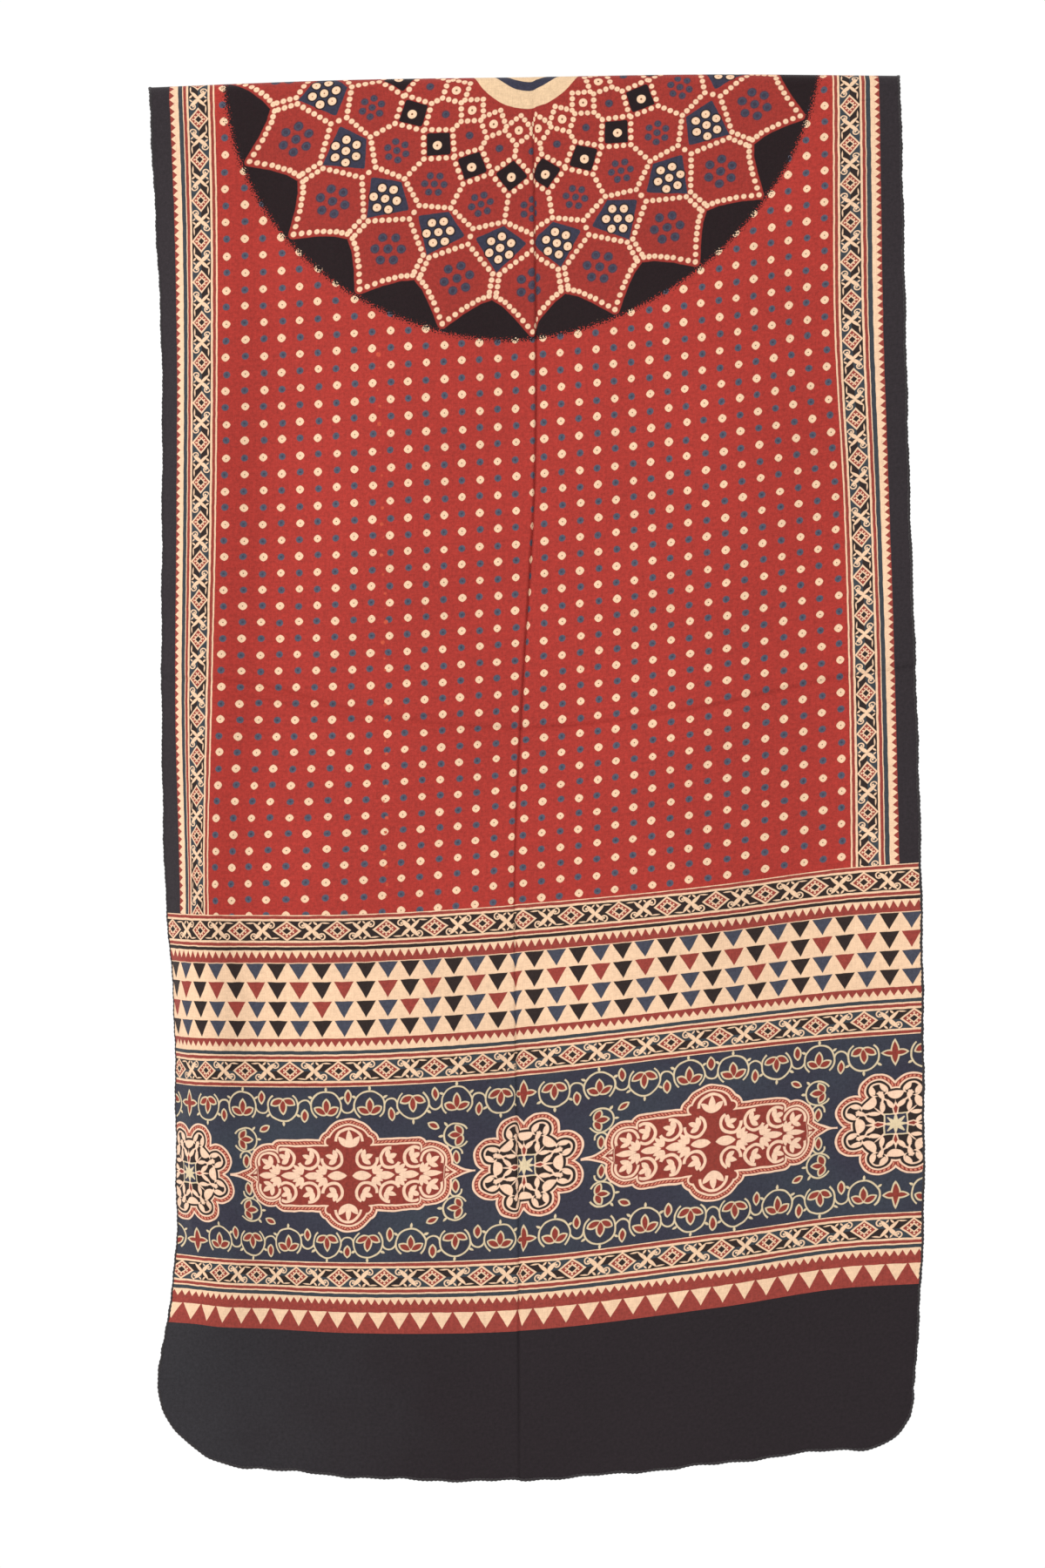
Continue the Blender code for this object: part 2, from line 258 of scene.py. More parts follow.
class Pen:
    """Writes one material's nodes."""

    def __init__(self, material):
        self.tree = material.node_tree
        self.count = 0

    def node(self, kind):
        made = self.tree.nodes.new(kind)
        made.location = (40.0 * (self.count % 60), -60.0 * (self.count // 60))
        made.hide = True
        self.count += 1
        return made

    def feed(self, socket, value):
        if isinstance(value, Num):
            value = value.socket
        if isinstance(value, bpy.types.NodeSocket):
            self.tree.links.new(value, socket)
        elif isinstance(value, tuple):
            socket.default_value = value[: len(socket.default_value)]
        else:
            socket.default_value = value

    def math(self, operation, *values):
        made = self.node("ShaderNodeMath")
        made.operation = operation
        for socket, value in zip(made.inputs, values):
            self.feed(socket, value)
        return Num(self, made.outputs[0])

    def clamp(self, value):
        made = self.node("ShaderNodeClamp")
        self.feed(made.inputs["Value"], value)
        return Num(self, made.outputs[0])

    def attribute(self, name):
        made = self.node("ShaderNodeAttribute")
        made.attribute_name = name
        return made.outputs["Vector"]

    def split(self, vector):
        made = self.node("ShaderNodeSeparateXYZ")
        self.feed(made.inputs[0], vector)
        return [Num(self, socket) for socket in made.outputs]

    def join(self, x, y, z=0.0):
        made = self.node("ShaderNodeCombineXYZ")
        for socket, value in zip(made.inputs, (x, y, z)):
            self.feed(socket, value)
        return made.outputs[0]

    def noise(self, vector, scale, detail=2.0, roughness=0.5):
        """Noise about 0, from roughly -1 to 1."""
        made = self.node("ShaderNodeTexNoise")
        self.feed(made.inputs["Vector"], vector)
        made.inputs["Scale"].default_value = scale
        made.inputs["Detail"].default_value = detail
        made.inputs["Roughness"].default_value = roughness
        return (Num(self, made.outputs[0]) - 0.5) * 2.0

    def chance(self, x, y):
        """Three even random numbers from 0 to 1 for each whole x and y."""
        made = self.node("ShaderNodeTexWhiteNoise")
        made.noise_dimensions = "2D"
        self.feed(made.inputs["Vector"], self.join(x, y))
        return self.split(made.outputs["Color"])

    def mix(self, below, above, amount):
        made = self.node("ShaderNodeMix")
        made.data_type = "RGBA"
        colour_sockets = [s for s in made.inputs if s.type == "RGBA"]
        self.feed(made.inputs[0], amount)
        self.feed(colour_sockets[0], below)
        self.feed(colour_sockets[1], above)
        return [s for s in made.outputs if s.type == "RGBA"][0]

    def shade(self, value, amount):
        """Multiplies a colour or a vector by a number."""
        made = self.node("ShaderNodeVectorMath")
        made.operation = "SCALE"
        self.feed(made.inputs[0], value)
        self.feed(made.inputs["Scale"], amount)
        return made.outputs[0]


def least(*values):
    found = values[0]
    for value in values[1:]:
        found = found.pen.math("MINIMUM", found, value)
    return found


def most(*values):
    found = values[0]
    for value in values[1:]:
        found = found.pen.math("MAXIMUM", found, value)
    return found


def madd(value, times, plus):
    return value.pen.math("MULTIPLY_ADD", value, times, plus)


def root(value):
    return value.pen.math("SQRT", value)


def clamp01(value):
    return value.pen.clamp(value)


def cover(distance, soft=0.30):
    """Ink coverage from a signed distance in mm: 1 inside, 0 outside, with a slightly soft edge."""
    return clamp01(madd(distance, -1.0 / soft, 0.5))


def above(value, limit):
    return value.pen.math("GREATER_THAN", value, limit)


def band(value, low, high):
    """Signed distance to a stripe from low to high."""
    return abs(value - 0.5 * (low + high)) - 0.5 * (high - low)


def cell(value, pitch):
    """Number of the nearest mark in a row of marks, and the distance from it."""
    number = value.pen.math("ROUND", value / pitch)
    return number, value - number * pitch


def odd(value):
    """1 where a whole number is odd."""
    return value.pen.math("FLOORED_MODULO", value, 2.0)


def bounce(value, half_period):
    """Mirror repeat: 0 at even multiples of half_period, half_period at odd ones."""
    return value.pen.math("PINGPONG", value, half_period)


def length(x, y):
    return root(madd(x, x, y * y))


class Inks:
    """Colours laid one over another on the cloth."""

    def __init__(self, pen, ground):
        self.pen = pen
        self.colour = ground

    def lay(self, colour, amount):
        self.colour = self.pen.mix(self.colour, colour, amount)


LIGHT = 1.42                  # how brightly the lamps and the white room light the front


def dye(red, green, blue):
    """A dye by how it looks in the light of this scene, 0 to 255."""
    shown = [channel / 255.0 for channel in (red, green, blue)]
    linear = [s / 12.92 if s <= 0.04045 else ((s + 0.055) / 1.055) ** 2.4 for s in shown]
    return tuple(channel / LIGHT for channel in linear) + (1.0,)


FIELD_RED = dye(184, 58, 49)
BAND_RED = dye(163, 68, 58)
PANEL_RED = dye(154, 62, 51)
MEDALLION_RED = dye(168, 55, 46)
SPECK_RED = dye(214, 88, 62)
CREAM = dye(261, 220, 182)
BEAD_CREAM = dye(264, 222, 184)
DISC_CREAM = dye(250, 214, 172)
PANEL_CREAM = dye(266, 224, 192)
VINE_CREAM = dye(240, 218, 178)
SLATE = dye(88, 92, 108)
SLATE_DARK = dye(66, 60, 78)
STRIPE_SLATE = dye(64, 70, 76)
TRIANGLE_BLUE = dye(74, 76, 90)
NAVY = dye(58, 58, 76)
PANEL_NAVY = dye(58, 57, 71)
PANEL_TEAL = dye(64, 72, 82)
BLACK = dye(34, 19, 22)
TRIANGLE_BLACK = dye(50, 38, 35)
MARGIN_BLACK = dye(50, 43, 47)
END_BLACK = dye(41, 33, 37)
# A greyer black, the painted sheen on the left of the dark end.
SHEEN_BLACK = dye(52, 50, 54)
BROWN = dye(120, 88, 56)
PINK = dye(250, 158, 128)


# ---------------------------------------------------------------- strokes of a drawn motif
def vector(pen, operation, *values, out=0):
    made = pen.node("ShaderNodeVectorMath")
    made.operation = operation
    for socket, value in zip(made.inputs, values):
        pen.feed(socket, value)
    return made.outputs[out]


def nearest(gaps):
    """Least of many distances, each one compared as soon as it is made."""
    found = None
    for gap in gaps:
        found = gap if found is None else least(found, gap)
    return found


def stretches(pen, point, path):
    """Distances to the straight parts of a brush stroke through places (x, y, half width)."""
    for (x0, y0, w0), (x1, y1, w1) in zip(path, path[1:]):
        step_x, step_y = x1 - x0, y1 - y0
        size = step_x**2 + step_y**2
        off = vector(pen, "SUBTRACT", point, (x0, y0, 0.0))
        share = Num(pen, vector(pen, "DOT_PRODUCT", off, (step_x / size, step_y / size, 0.0), out=1))
        share = clamp01(share)
        foot = pen.shade((step_x, step_y, 0.0), share)
        gap = Num(pen, vector(pen, "DISTANCE", off, foot, out=1))
        yield madd(share, w0 - w1, gap) - w0


def strokes(pen, point, paths):
    """Distance to the nearest of several brush strokes."""
    return nearest(gap for path in paths for gap in stretches(pen, point, path))


def spot(pen, point, x, y, radius):
    """Distance to a round spot."""
    return Num(pen, vector(pen, "DISTANCE", point, (x, y, 0.0), out=1)) - radius


def drops(pen, point, places):
    """Distance to the nearest of several spots (x, y, radius)."""
    return nearest(spot(pen, point, *place) for place in places)


def leaf(pen, point, x0, y0, x1, y1, half_width):
    """Distance to a leaf pointed at both ends, the overlap of two equal discs."""
    span = math.hypot(x1 - x0, y1 - y0)
    radius = (0.25 * span**2 + half_width**2) / (2.0 * half_width)
    away = radius - half_width
    side_x, side_y = -(y1 - y0) / span * away, (x1 - x0) / span * away
    mid_x, mid_y = 0.5 * (x0 + x1), 0.5 * (y0 + y1)
    one = Num(pen, vector(pen, "DISTANCE", point, (mid_x + side_x, mid_y + side_y, 0.0), out=1))
    other = Num(pen, vector(pen, "DISTANCE", point, (mid_x - side_x, mid_y - side_y, 0.0), out=1))
    return most(one, other) - radius


def leaves_of(pen, point, places):
    """Distance to the nearest of several leaves."""
    return nearest(leaf(pen, point, *place) for place in places)


def arc(pen, point, x, y, radius, middle, spread, half_width):
    """Distance to a drawn arc: its centre, radius, middle direction and half opening in degrees."""
    middle, spread = math.radians(middle), math.radians(spread)
    off = vector(pen, "SUBTRACT", point, (x, y, 0.0))
    ring = abs(Num(pen, vector(pen, "LENGTH", off, out=1)) - radius) - half_width
    ahead = (-math.sin(spread) * math.cos(middle), -math.sin(spread) * math.sin(middle), 0.0)
    past = Num(pen, vector(pen, "DOT_PRODUCT", off, ahead, out=1))
    across = (-math.sin(middle), math.cos(middle), 0.0)
    side = abs(Num(pen, vector(pen, "DOT_PRODUCT", off, across, out=1)))
    return most(ring, madd(side, math.cos(spread), past))


def arcs_of(pen, point, places):
    """Distance to the nearest of several arcs."""
    return nearest(arc(pen, point, *place) for place in places)


# ---------------------------------------------------------------- the dotted field
DOT_PITCH = (13.45, 12.40)
DOT_START = 207.5             # a cream dot lies here at mid width
CREAM_DOT = 3.0
SLATE_DOT = 2.55


def dotted_field(pen, u, w):
    """Rows of cream and slate dots on red, cream and slate by turns both ways."""
    inks = Inks(pen, FIELD_RED)
    column, du = cell(u, DOT_PITCH[0])
    row, dw = cell(w - DOT_START, DOT_PITCH[1])
    side, up, size = pen.chance(column, row)
    du = madd(side - 0.5, 1.0, du)
    dw = madd(up - 0.5, 1.0, dw)
    is_slate = odd(column + row)
    round_gap = length(du, dw)
    gap = madd(abs(du) + abs(dw), 0.22, round_gap * 0.78)
    gap = madd(size - 0.5, 0.4, gap)
    inks.lay(SLATE, cover(round_gap - SLATE_DOT, 0.7) * is_slate)
    inks.lay(SLATE_DARK, cover(round_gap - 0.9, 0.9) * is_slate * 0.8)
    inks.lay(CREAM, cover(gap - CREAM_DOT, 0.45) * (1.0 - is_slate))
    inks.lay(BROWN, cover(round_gap - 0.45, 0.35) * (1.0 - is_slate))
    return inks


def speckled_field(pen, u, v, t, where):
    """The dotted field with a line of misplaced orange-red specks down its left."""
    inks = dotted_field(pen, u, abs(v))
    row, dv = cell(v, 12.4)
    side, up, size = pen.chance(row, row + 40.0)
    gap = length(madd(side - 0.5, 2.4, u + 118.0 - 0.03 * v + 6.0), madd(up - 0.5, 5.0, dv))
    inks.lay(SPECK_RED, cover(gap - size * 1.3 - 0.35, 0.7) * above(v, 190.0))
    return inks


# ---------------------------------------------------------------- borders
MOTIF_PITCH = 34.66           # from one diamond to the next, as drawn; a band may stretch it
MOTIF_EDGE = 0.40             # softness of the motif's edges
# The border motif in mm, charted from enlarged crops of the photo: each leaf from, to, half width.
BAND_LEAVES = (
    (18.50, -1.55, 10.67, 6.08, 1.23), (11.96, 5.95, 5.17, 5.56, 0.52), (13.97, 4.27, 16.56, 6.86, 0.71),
    (18.50, 1.55, 11.12, -6.47, 1.55), (14.87, -4.53, 17.07, -6.73, 0.58),
)
BAND_CURL = (10.74, -4.53, 2.20, 150.0, 125.0, 0.49)
BAND_DROP = (10.99, -4.01, 0.81)
DIAMOND = (9.89, 7.70)        # half length and half width of a diamond
SLOPE = math.hypot(*DIAMOND)
BEAD_STEP = 2.72              # between the small beads inside a diamond


def motif_band(pen, along, q, pitch, ground, flip_ground):
    """Diamonds with crossed leaves between them; q is the distance off the band's middle."""
    number, offset = cell(along, pitch)
    flip = odd(number) * 2.0 - 1.0
    p = abs(offset) * (MOTIF_PITCH / pitch)
    point = pen.join(p, q * flip)

    inks = Inks(pen, ground)
    if flip_ground is not None:
        wave = pen.math("COSINE", along * (math.pi / pitch))
        inks.lay(flip_ground, above(q, 0.0))
        inks.lay(ground, above(q, 0.0) * above(wave, 0.0))
        inks.lay(flip_ground, above(-q, 0.0) * above(wave, 0.0))
    leaves = least(leaves_of(pen, point, BAND_LEAVES), arc(pen, point, *BAND_CURL))
    inks.lay(CREAM, cover(least(leaves, spot(pen, point, *BAND_DROP)), MOTIF_EDGE))

    abs_q = abs(q)
    outline = p * (1.0 / DIAMOND[0]) + abs_q * (1.0 / DIAMOND[1]) - 1.0
    outline = outline * (DIAMOND[0] * DIAMOND[1] / SLOPE)
    inks.lay(CREAM, cover(outline, MOTIF_EDGE))
    inks.lay(BAND_RED, cover(outline + 1.23, MOTIF_EDGE))
    beside = abs_q * (DIAMOND[1] / SLOPE) - p * (DIAMOND[0] / SLOPE) + 0.19
    beside = cell(beside, BEAD_STEP)[1]
    inks.lay(CREAM, cover(length(beside, outline + 2.59) - 0.61, MOTIF_EDGE))
    square = (p + abs_q * 1.15) * 0.707
    inks.lay(CREAM, cover(square - 3.04, MOTIF_EDGE))
    inks.lay(TRIANGLE_BLACK, cover(square - 2.0, MOTIF_EDGE))
    return inks


def lines_beside(inks, value, edge, outward):
    """The cream, red and cream lines that frame a motif band, 5 mm wide, going outward."""
    away = (value - edge) * outward
    for far, near, colour in ((5.1, 0.0, CREAM), (3.9, 1.6, BAND_RED), (3.1, 2.3, BAND_RED)):
        inks.lay(colour, cover(band(away, near, far)))


def side_border(pen, u, v, t, where):
    """From the edge inwards: black margin, saw teeth, cream, slate, lines, motifs and lines."""
    into = HALF * 1000.0 - abs(u)
    w = abs(v)
    inks = motif_band(pen, w - 14.0, into - 37.3, 29.8, STRIPE_SLATE, TRIANGLE_BLACK)
    field = dotted_field(pen, u, w)
    inks.lay(field.colour, cover(50.0 - into, 0.5))
    lines_beside(inks, into, 44.8, 1.0)
    lines_beside(inks, into, 29.8, -1.0)
    inks.lay(STRIPE_SLATE, cover(into - 25.2))
    inks.lay(CREAM, cover(into - 21.9))
    tooth = cell(w, 5.8)[1]
    inks.lay(BAND_RED, cover(into - 18.9))
    inks.lay(CREAM, cover((abs(tooth) - (into - 15.2) * 0.78) * 0.75, 0.4) * cover(into - 18.95))
    inks.lay(MARGIN_BLACK, cover(into - 15.1, 0.5))
    return inks


def triangles(pen, inks, u, t, top, tall, pitch, wide, colours, shift):
    """A row of triangles hanging from a line, coloured in turn."""
    number, du = cell(u - shift, pitch)
    down = t - top
    gap = (abs(du) - (tall - down) * (0.5 * wide / tall)) * 0.88
    shape = cover(most(gap, -down, down - tall), 0.4)
    turn = pen.math("FLOORED_MODULO", number, float(len(colours)))
    ink = colours[0]
    for index, colour in enumerate(colours[1:], 1):
        picked = pen.math("COMPARE", turn, float(index), 0.25)
        ink = pen.mix(ink, colour, picked)
    inks.lay(ink, shape)


def teeth(inks, u, t, base, apex, pitch, colour):
    """Small teeth standing on base, pointing to apex."""
    du = cell(u, pitch)[1]
    up = (t - base) * (1.0 if apex > base else -1.0)
    tall = abs(apex - base)
    gap = (abs(du) - (tall - up) * (0.5 * pitch / tall)) * 0.88
    inks.lay(colour, cover(most(gap, -up), 0.4))


TRIANGLE_PITCH = 15.9
BLUE, DARK, RED = TRIANGLE_BLUE, TRIANGLE_BLACK, BAND_RED


def stained(pen, where):
    """Cream with the pink bleeding that the red leaves on it."""
    blot = pen.noise(where, 0.028, 3.0, 0.6)
    return pen.mix(CREAM, PINK, clamp01(madd(blot, 2.6, -1.15)) * 0.42)


def upper_end(pen, u, v, t, where):
    """The end border above the figured panel: motifs, triangles, motifs."""
    cream = stained(pen, where)
    inks = motif_band(pen, u, t - 11.95, 34.9, TRIANGLE_BLACK, None)
    lines_beside(inks, t, 4.6, -1.0)
    lines_beside(inks, t, 19.3, 1.0)
    inks.lay(cream, cover(24.1 - t))
    inks.lay(TRIANGLE_BLACK, cover(band(t, 24.1, 26.6)))
    teeth(inks, u, t, 32.9, 27.3, 5.9, BAND_RED)
    inks.lay(BAND_RED, cover(band(t, 32.6, 35.9)))
    half = TRIANGLE_PITCH / 2.0
    triangles(pen, inks, u, t, 36.5, 12.3, TRIANGLE_PITCH, 14.3, (DARK, BLUE), half)
    triangles(pen, inks, u, t, 50.4, 12.9, TRIANGLE_PITCH, 14.3, (DARK, RED), half)
    triangles(pen, inks, u, t, 65.0, 12.4, TRIANGLE_PITCH, 14.3, (DARK, BLUE, RED, BLUE), half)
    triangles(pen, inks, u, t, 79.2, 12.4, TRIANGLE_PITCH, 14.3, (DARK, BLUE), half)
    inks.lay(BAND_RED, cover(band(t, 92.6, 98.9)))
    teeth(inks, u + 2.95, t, 98.9, 94.6, 5.9, cream)
    inks.lay(cream, cover(98.8 - t))
    inks.lay(STRIPE_SLATE, cover(band(t, 101.7, 104.4)))
    lower = motif_band(pen, u, t - 116.8, 34.9, STRIPE_SLATE, TRIANGLE_BLACK)
    inks.lay(lower.colour, cover(109.0 - t))
    lines_beside(inks, t, 109.5, -1.0)
    lines_beside(inks, t, 124.1, 1.0)
    return inks


def lower_end(pen, u, v, t, where):
    """The end border below the figured panel, down to the plain dark end."""
    cream = stained(pen, where)
    inks = motif_band(pen, u, t - 274.6, 34.9, STRIPE_SLATE, TRIANGLE_BLACK)
    lines_beside(inks, t, 267.3, -1.0)
    lines_beside(inks, t, 281.9, 1.0)
    inks.lay(cream, cover(286.7 - t))
    inks.lay(STRIPE_SLATE, cover(band(t, 286.9, 289.7)))
    teeth(inks, u, t, 295.4, 290.9, 5.9, BAND_RED)
    inks.lay(BAND_RED, cover(295.2 - t))
    triangles(pen, inks, u, t, 301.2, 12.4, TRIANGLE_PITCH * 0.99, 14.6, (cream,), 0.0)
    return inks


# ---------------------------------------------------------------- the medallion
PETALS = 20
FOLD = math.pi / PETALS       # half a petal
EDGE = 0.50                   # softness of a printed edge


def polar(degrees_on, radius):
    """A place given by its angle off the petal's axis and its radius."""
    angle = math.radians(degrees_on)
    return radius * math.sin(angle), radius * math.cos(angle)


# The medallion's sizes are in mm. They were read off enlarged crops of the photo.
BEAD_LINES = (                                      # from (degrees off the axis, radius) to the same
    ((9, 52.4), (0, 62.1)), ((0, 65.3), (9, 74.4)), ((9, 74.4), (9, 82.8)), ((9, 82.8), (0, 97.0)),
    ((0, 98.3), (9, 111.9)), ((9, 111.9), (9, 131.3)), ((9, 131.3), (0, 140.3)), ((0, 140.3), (0, 152.0)),
    ((0, 152.0), (8.2, 170.1)), ((8.2, 174.6), (8.2, 183.7)),
)
PETAL_EDGE = ((8.2, 186.3), (6.0, 190.1), (3.0, 199.2), (0, 212.1))
PETAL_FOOT = 185.0            # radius where two petals part
PETAL_RISE = 25.9
BEAD_PITCH = 4.85
BEAD = 1.94
DARK_ROUND = 217.9            # radius of the black round behind the petals
DARK_KITE = ((0.0, 82.8), (15.3, 96.7), (0.0, 111.9))
BLUE_KITE = ((0.0, 131.3), (23.0, 144.9), (0.0, 173.3))


def beads(pen, point, ends):
    """Distance to the nearest bead of a straight string of beads."""
    (x0, y0), (x1, y1) = [polar(*end) for end in ends]
    full = math.hypot(x1 - x0, y1 - y0)
    count = max(1, round(full / BEAD_PITCH))
    unit = ((x1 - x0) / full, (y1 - y0) / full, 0.0)
    off = vector(pen, "SUBTRACT", point, (x0, y0, 0.0))
    run = Num(pen, vector(pen, "DOT_PRODUCT", off, unit, out=1))
    number = pen.math("ROUND", run * (count / full))
    number = least(most(number, 0.0), float(count))
    foot = pen.shade(((x1 - x0) / count, (y1 - y0) / count, 0.0), number)
    return Num(pen, vector(pen, "DISTANCE", off, foot, out=1)) - BEAD


def kite(pen, x, y, corners, inset):
    """Signed distance inside a kite that stands on the petal's axis, with rounded corners."""
    slopes = []
    for (x0, y0), (x1, y1) in zip(corners, corners[1:]):
        full = math.hypot(x1 - x0, y1 - y0)
        normal = ((y1 - y0) / full, -(x1 - x0) / full)
        slopes.append(x * normal[0] + y * normal[1] - (x0 * normal[0] + y0 * normal[1]))
    return pen.math("SMOOTH_MAX", slopes[0], slopes[1], 3.2) + inset


def cluster(pen, point, radius, spread, size):
    """Seven dots, one in the middle, on the axis at a radius; point is folded about that axis."""
    x, y, _ = pen.split(vector(pen, "SUBTRACT", point, (0.0, radius, 0.0)))
    folded = pen.join(x, abs(y))
    reach = 0.866 * spread
    return drops(pen, folded, ((0.0, 0.0, size), (0.0, spread, size), (reach, 0.5 * spread, size)))


def petal_radius(pen, angle):
    """Radius of a petal's pointed edge at an angle off its axis."""
    share = angle * (1.0 / FOLD)
    return madd(pen.math("POWER", 1.0 - share, 1.7), PETAL_RISE, PETAL_FOOT)


def medallion(pen, u, v, t, where):
    """A lotus-like round of twenty petals, its cells outlined in beads."""
    bow = u * u * (1.0 / 190.0 ** 2)                # the print sags a little towards the sides
    x, y = u * 0.957, (v - 4.0 - bow * bow * 5.0) * 1.006
    radius = madd(length(x, y), 0.982, 3.9)
    inks = dotted_field(pen, u, abs(v))
    frayed = pen.noise(pen.join(u, v), 0.9, 2.0) * 8.4
    inks.lay(BLACK, cover(radius + frayed - DARK_ROUND, 0.78))

    angle = bounce(pen.math("ARCTAN2", x, y), FOLD)
    px, py = radius * pen.math("SINE", angle), radius * pen.math("COSINE", angle)
    petal = pen.join(px, py)                        # folded about the petal's own axis
    back = FOLD - angle
    gx, gy = radius * pen.math("SINE", back), radius * pen.math("COSINE", back)
    gap = pen.join(gx, gy)                          # folded about the line between two petals

    lines = BEAD_LINES + tuple(zip(PETAL_EDGE, PETAL_EDGE[1:]))
    string = nearest(beads(pen, petal, line) for line in lines)
    rim = strokes(pen, petal, [[polar(*place) + (3.6,) for place in PETAL_EDGE]])
    inside = cover(radius - PETAL_FOOT, 0.65)
    edge_line = petal_radius(pen, angle)
    inks.lay(MEDALLION_RED, most(inside, cover(radius - edge_line, 0.65), cover(rim, 0.65)))
    inks.lay(BLACK, cover(kite(pen, gx, gy, DARK_KITE, 2.1), EDGE))
    inks.lay(NAVY, cover(kite(pen, gx, gy, BLUE_KITE, 2.6), EDGE))

    slate = least(cluster(pen, petal, 121.6, 7.0, 2.6), cluster(pen, petal, 177.8, 9.4, 3.36))
    slate = least(slate, spot(pen, petal, 0.0, 78.9, 2.85))
    inks.lay(SLATE_DARK, cover(slate, 1.0))
    inks.lay(SLATE, cover(abs(slate + 1.23) - 0.45, 0.9) * 0.55)
    eyes = cluster(pen, gap, 150.7, 8.5, 2.9)
    inks.lay(BLACK, cover(eyes - 0.97, 0.97))
    eyes = least(eyes, spot(pen, gap, 0.0, 63.4, 3.2), spot(pen, gap, 0.0, 98.3, 3.2))
    inks.lay(BEAD_CREAM, cover(eyes, EDGE))
    inks.lay(SPECK_RED, cover(eyes + 2.4, 0.58) * 0.6)
    inks.lay(BROWN, cover(eyes + 2.5, 0.45))

    inks.lay(BEAD_CREAM, cover(string, 0.65))
    inks.lay(BROWN, cover(string + 1.7, EDGE) * 0.6)
    inks.lay(DISC_CREAM, cover(radius - 47.2, EDGE))
    inks.lay(NAVY, cover(band(radius, 27.2, 34.0), EDGE))
    return inks


# ---------------------------------------------------------------- the figured panel
PANEL_PERIOD = 133.0          # from the middle of a rosette to the middle of a cartouche
PANEL_MIDDLE = 195.6
SCROLL_PITCH = 31.7
SCROLL_START = 22.0
SCROLL_HEIGHT = 52.4          # the vine's middle line, off the panel's middle, as in the photo
SCROLL_RADIUS = 11.0
STEM = 0.61                   # half width of a stem
OUTLINE = 4.07                # width of a figure's chequered outline
ROSETTE_FOLD = math.pi / 8.0
# The rosette's middle, read off the photo: strokes, each a row of places with a half width.
STAR = (((0, 0, 2.2), (7.4, 0, 0.5)),)
KNOB = (((8.4, 0, 1.55), (12.0, 0, 2.2), (15.5, 0, 0.9)),)
KNOB_HEART = (((9.1, 0, 0.8), (12.0, 0, 1.4), (14.2, 0, 0.3)),)


def spray(x, y, middle, opening, long, fat):
    """Three leaves from one place: the middle one long, the outer two shorter."""
    leaves = []
    for turn, share in ((-opening, 0.85), (0.0, 1.0), (opening, 0.85)):
        angle = math.radians(middle + turn)
        leaves.append((x, y, x + long * share * math.cos(angle), y + long * share * math.sin(angle), fat))
    return leaves


def barbs(x, y, radius, angles):
    """Short thorns that stand out from a ring."""
    spikes = []
    for degrees in angles:
        c, s = math.cos(math.radians(degrees)), math.sin(math.radians(degrees))
        spikes.append((x + radius * c, y + radius * s, x + (radius + 3.9) * c, y + (radius + 3.9) * s, 0.9))
    return spikes


def vine():
    """Scrolls strung along the panel, and one in the gap between the figures: arcs, thorns, leaves."""
    arcs, thorns, leaves = [], [], []
    gap = 0.5 * SCROLL_PITCH
    for number in range(4):
        x = SCROLL_START + SCROLL_PITCH * number
        way, toward = (90.0, 1.0) if number % 2 else (270.0, -1.0)
        arcs.append((x, SCROLL_HEIGHT, SCROLL_RADIUS, way, 140.0, STEM))
        arcs.append((x + gap, SCROLL_HEIGHT, gap - SCROLL_RADIUS, way + 180.0, 88.0, STEM))
        thorns += barbs(x, SCROLL_HEIGHT, SCROLL_RADIUS, (way - 60.0, way, way + 60.0))
        leaves += spray(x, SCROLL_HEIGHT - 5.8 * toward, way, 62.0, 11.6, 2.7)
        leaves.append((x + gap, SCROLL_HEIGHT + 1.9 * toward, x + gap, SCROLL_HEIGHT + 11.6 * toward, 2.5))
    # The place of this scroll in the gap, and the cross flower over the rosette, were read off the photo.
    x, y = 0.41 * PANEL_PERIOD, 0.52 * SCROLL_HEIGHT
    arcs += [(x, y, 9.0, 0.0, 150.0, STEM), (x, y - 13.6, 4.5, 90.0, 100.0, STEM)]
    thorns += barbs(x, y, 9.0, (0.0, 50.0, 310.0))
    leaves += spray(x - 4.5, y, 0.0, 60.0, 10.3, 2.6)
    leaves += [(x, y - 11.6, x, y - 21.3, 2.5), (x + 12.3, y + 6.5, x + 20.0, y + 10.3, 2.3)]
    leaves += [(0.0, 44.0, 0.0, 63.4, 2.8), (-1.9, 53.7, 9.1, 53.7, 2.3)]
    return arcs, thorns, leaves


def cartouche_work():
    """Two rows of scrolls about a chain of leaves, and a spray in the crown: arcs, leaves."""
    arcs, leaves = [], []
    for number in range(4):
        x = 17.5 * number
        leaves.append((x + 1.9, 0.0, x + 16.2, 0.0, 3.5 - 0.4 * number))
        leaves += spray(x + 17.5, 1.3, 50.0, 28.0, 9.7, 1.7)
        if number < 3:
            arcs.append((x + 12.9, 12.9, 7.4, 240.0 - 30.0 * number, 125.0, 1.1))
            leaves += spray(x + 9.7, 12.9, 20.0, 55.0, 8.4, 1.9)
    arcs += [(0.0, 25.9, 9.7, 62.0, 60.0, 1.0), (60.8, 9.7, 7.8, 80.0, 100.0, 1.0)]
    leaves += spray(0.0, 21.3, 90.0, 42.0, 13.6, 2.3)
    leaves += spray(58.2, 7.8, 30.0, 50.0, 9.1, 1.8)
    return arcs, leaves


def rosette_work():
    """A palmette in one fold of the rosette: arcs, leaves. Most of its places were read off the photo."""
    leaves = [(2.6, 0.0, 20.7, 0.0, 0.7)] + spray(20.0, 0.0, 0.0, 38.0, 11.0, 2.2)
    leaves += [(12.9, 0.6, 19.4, 6.5, 1.7), (25.9, 7.1, 34.3, 9.7, 1.9), (20.0, 7.8, 26.5, 10.7, 1.3)]
    return [(23.9, 4.2, 5.2, 120.0, 55.0, 0.65)], leaves


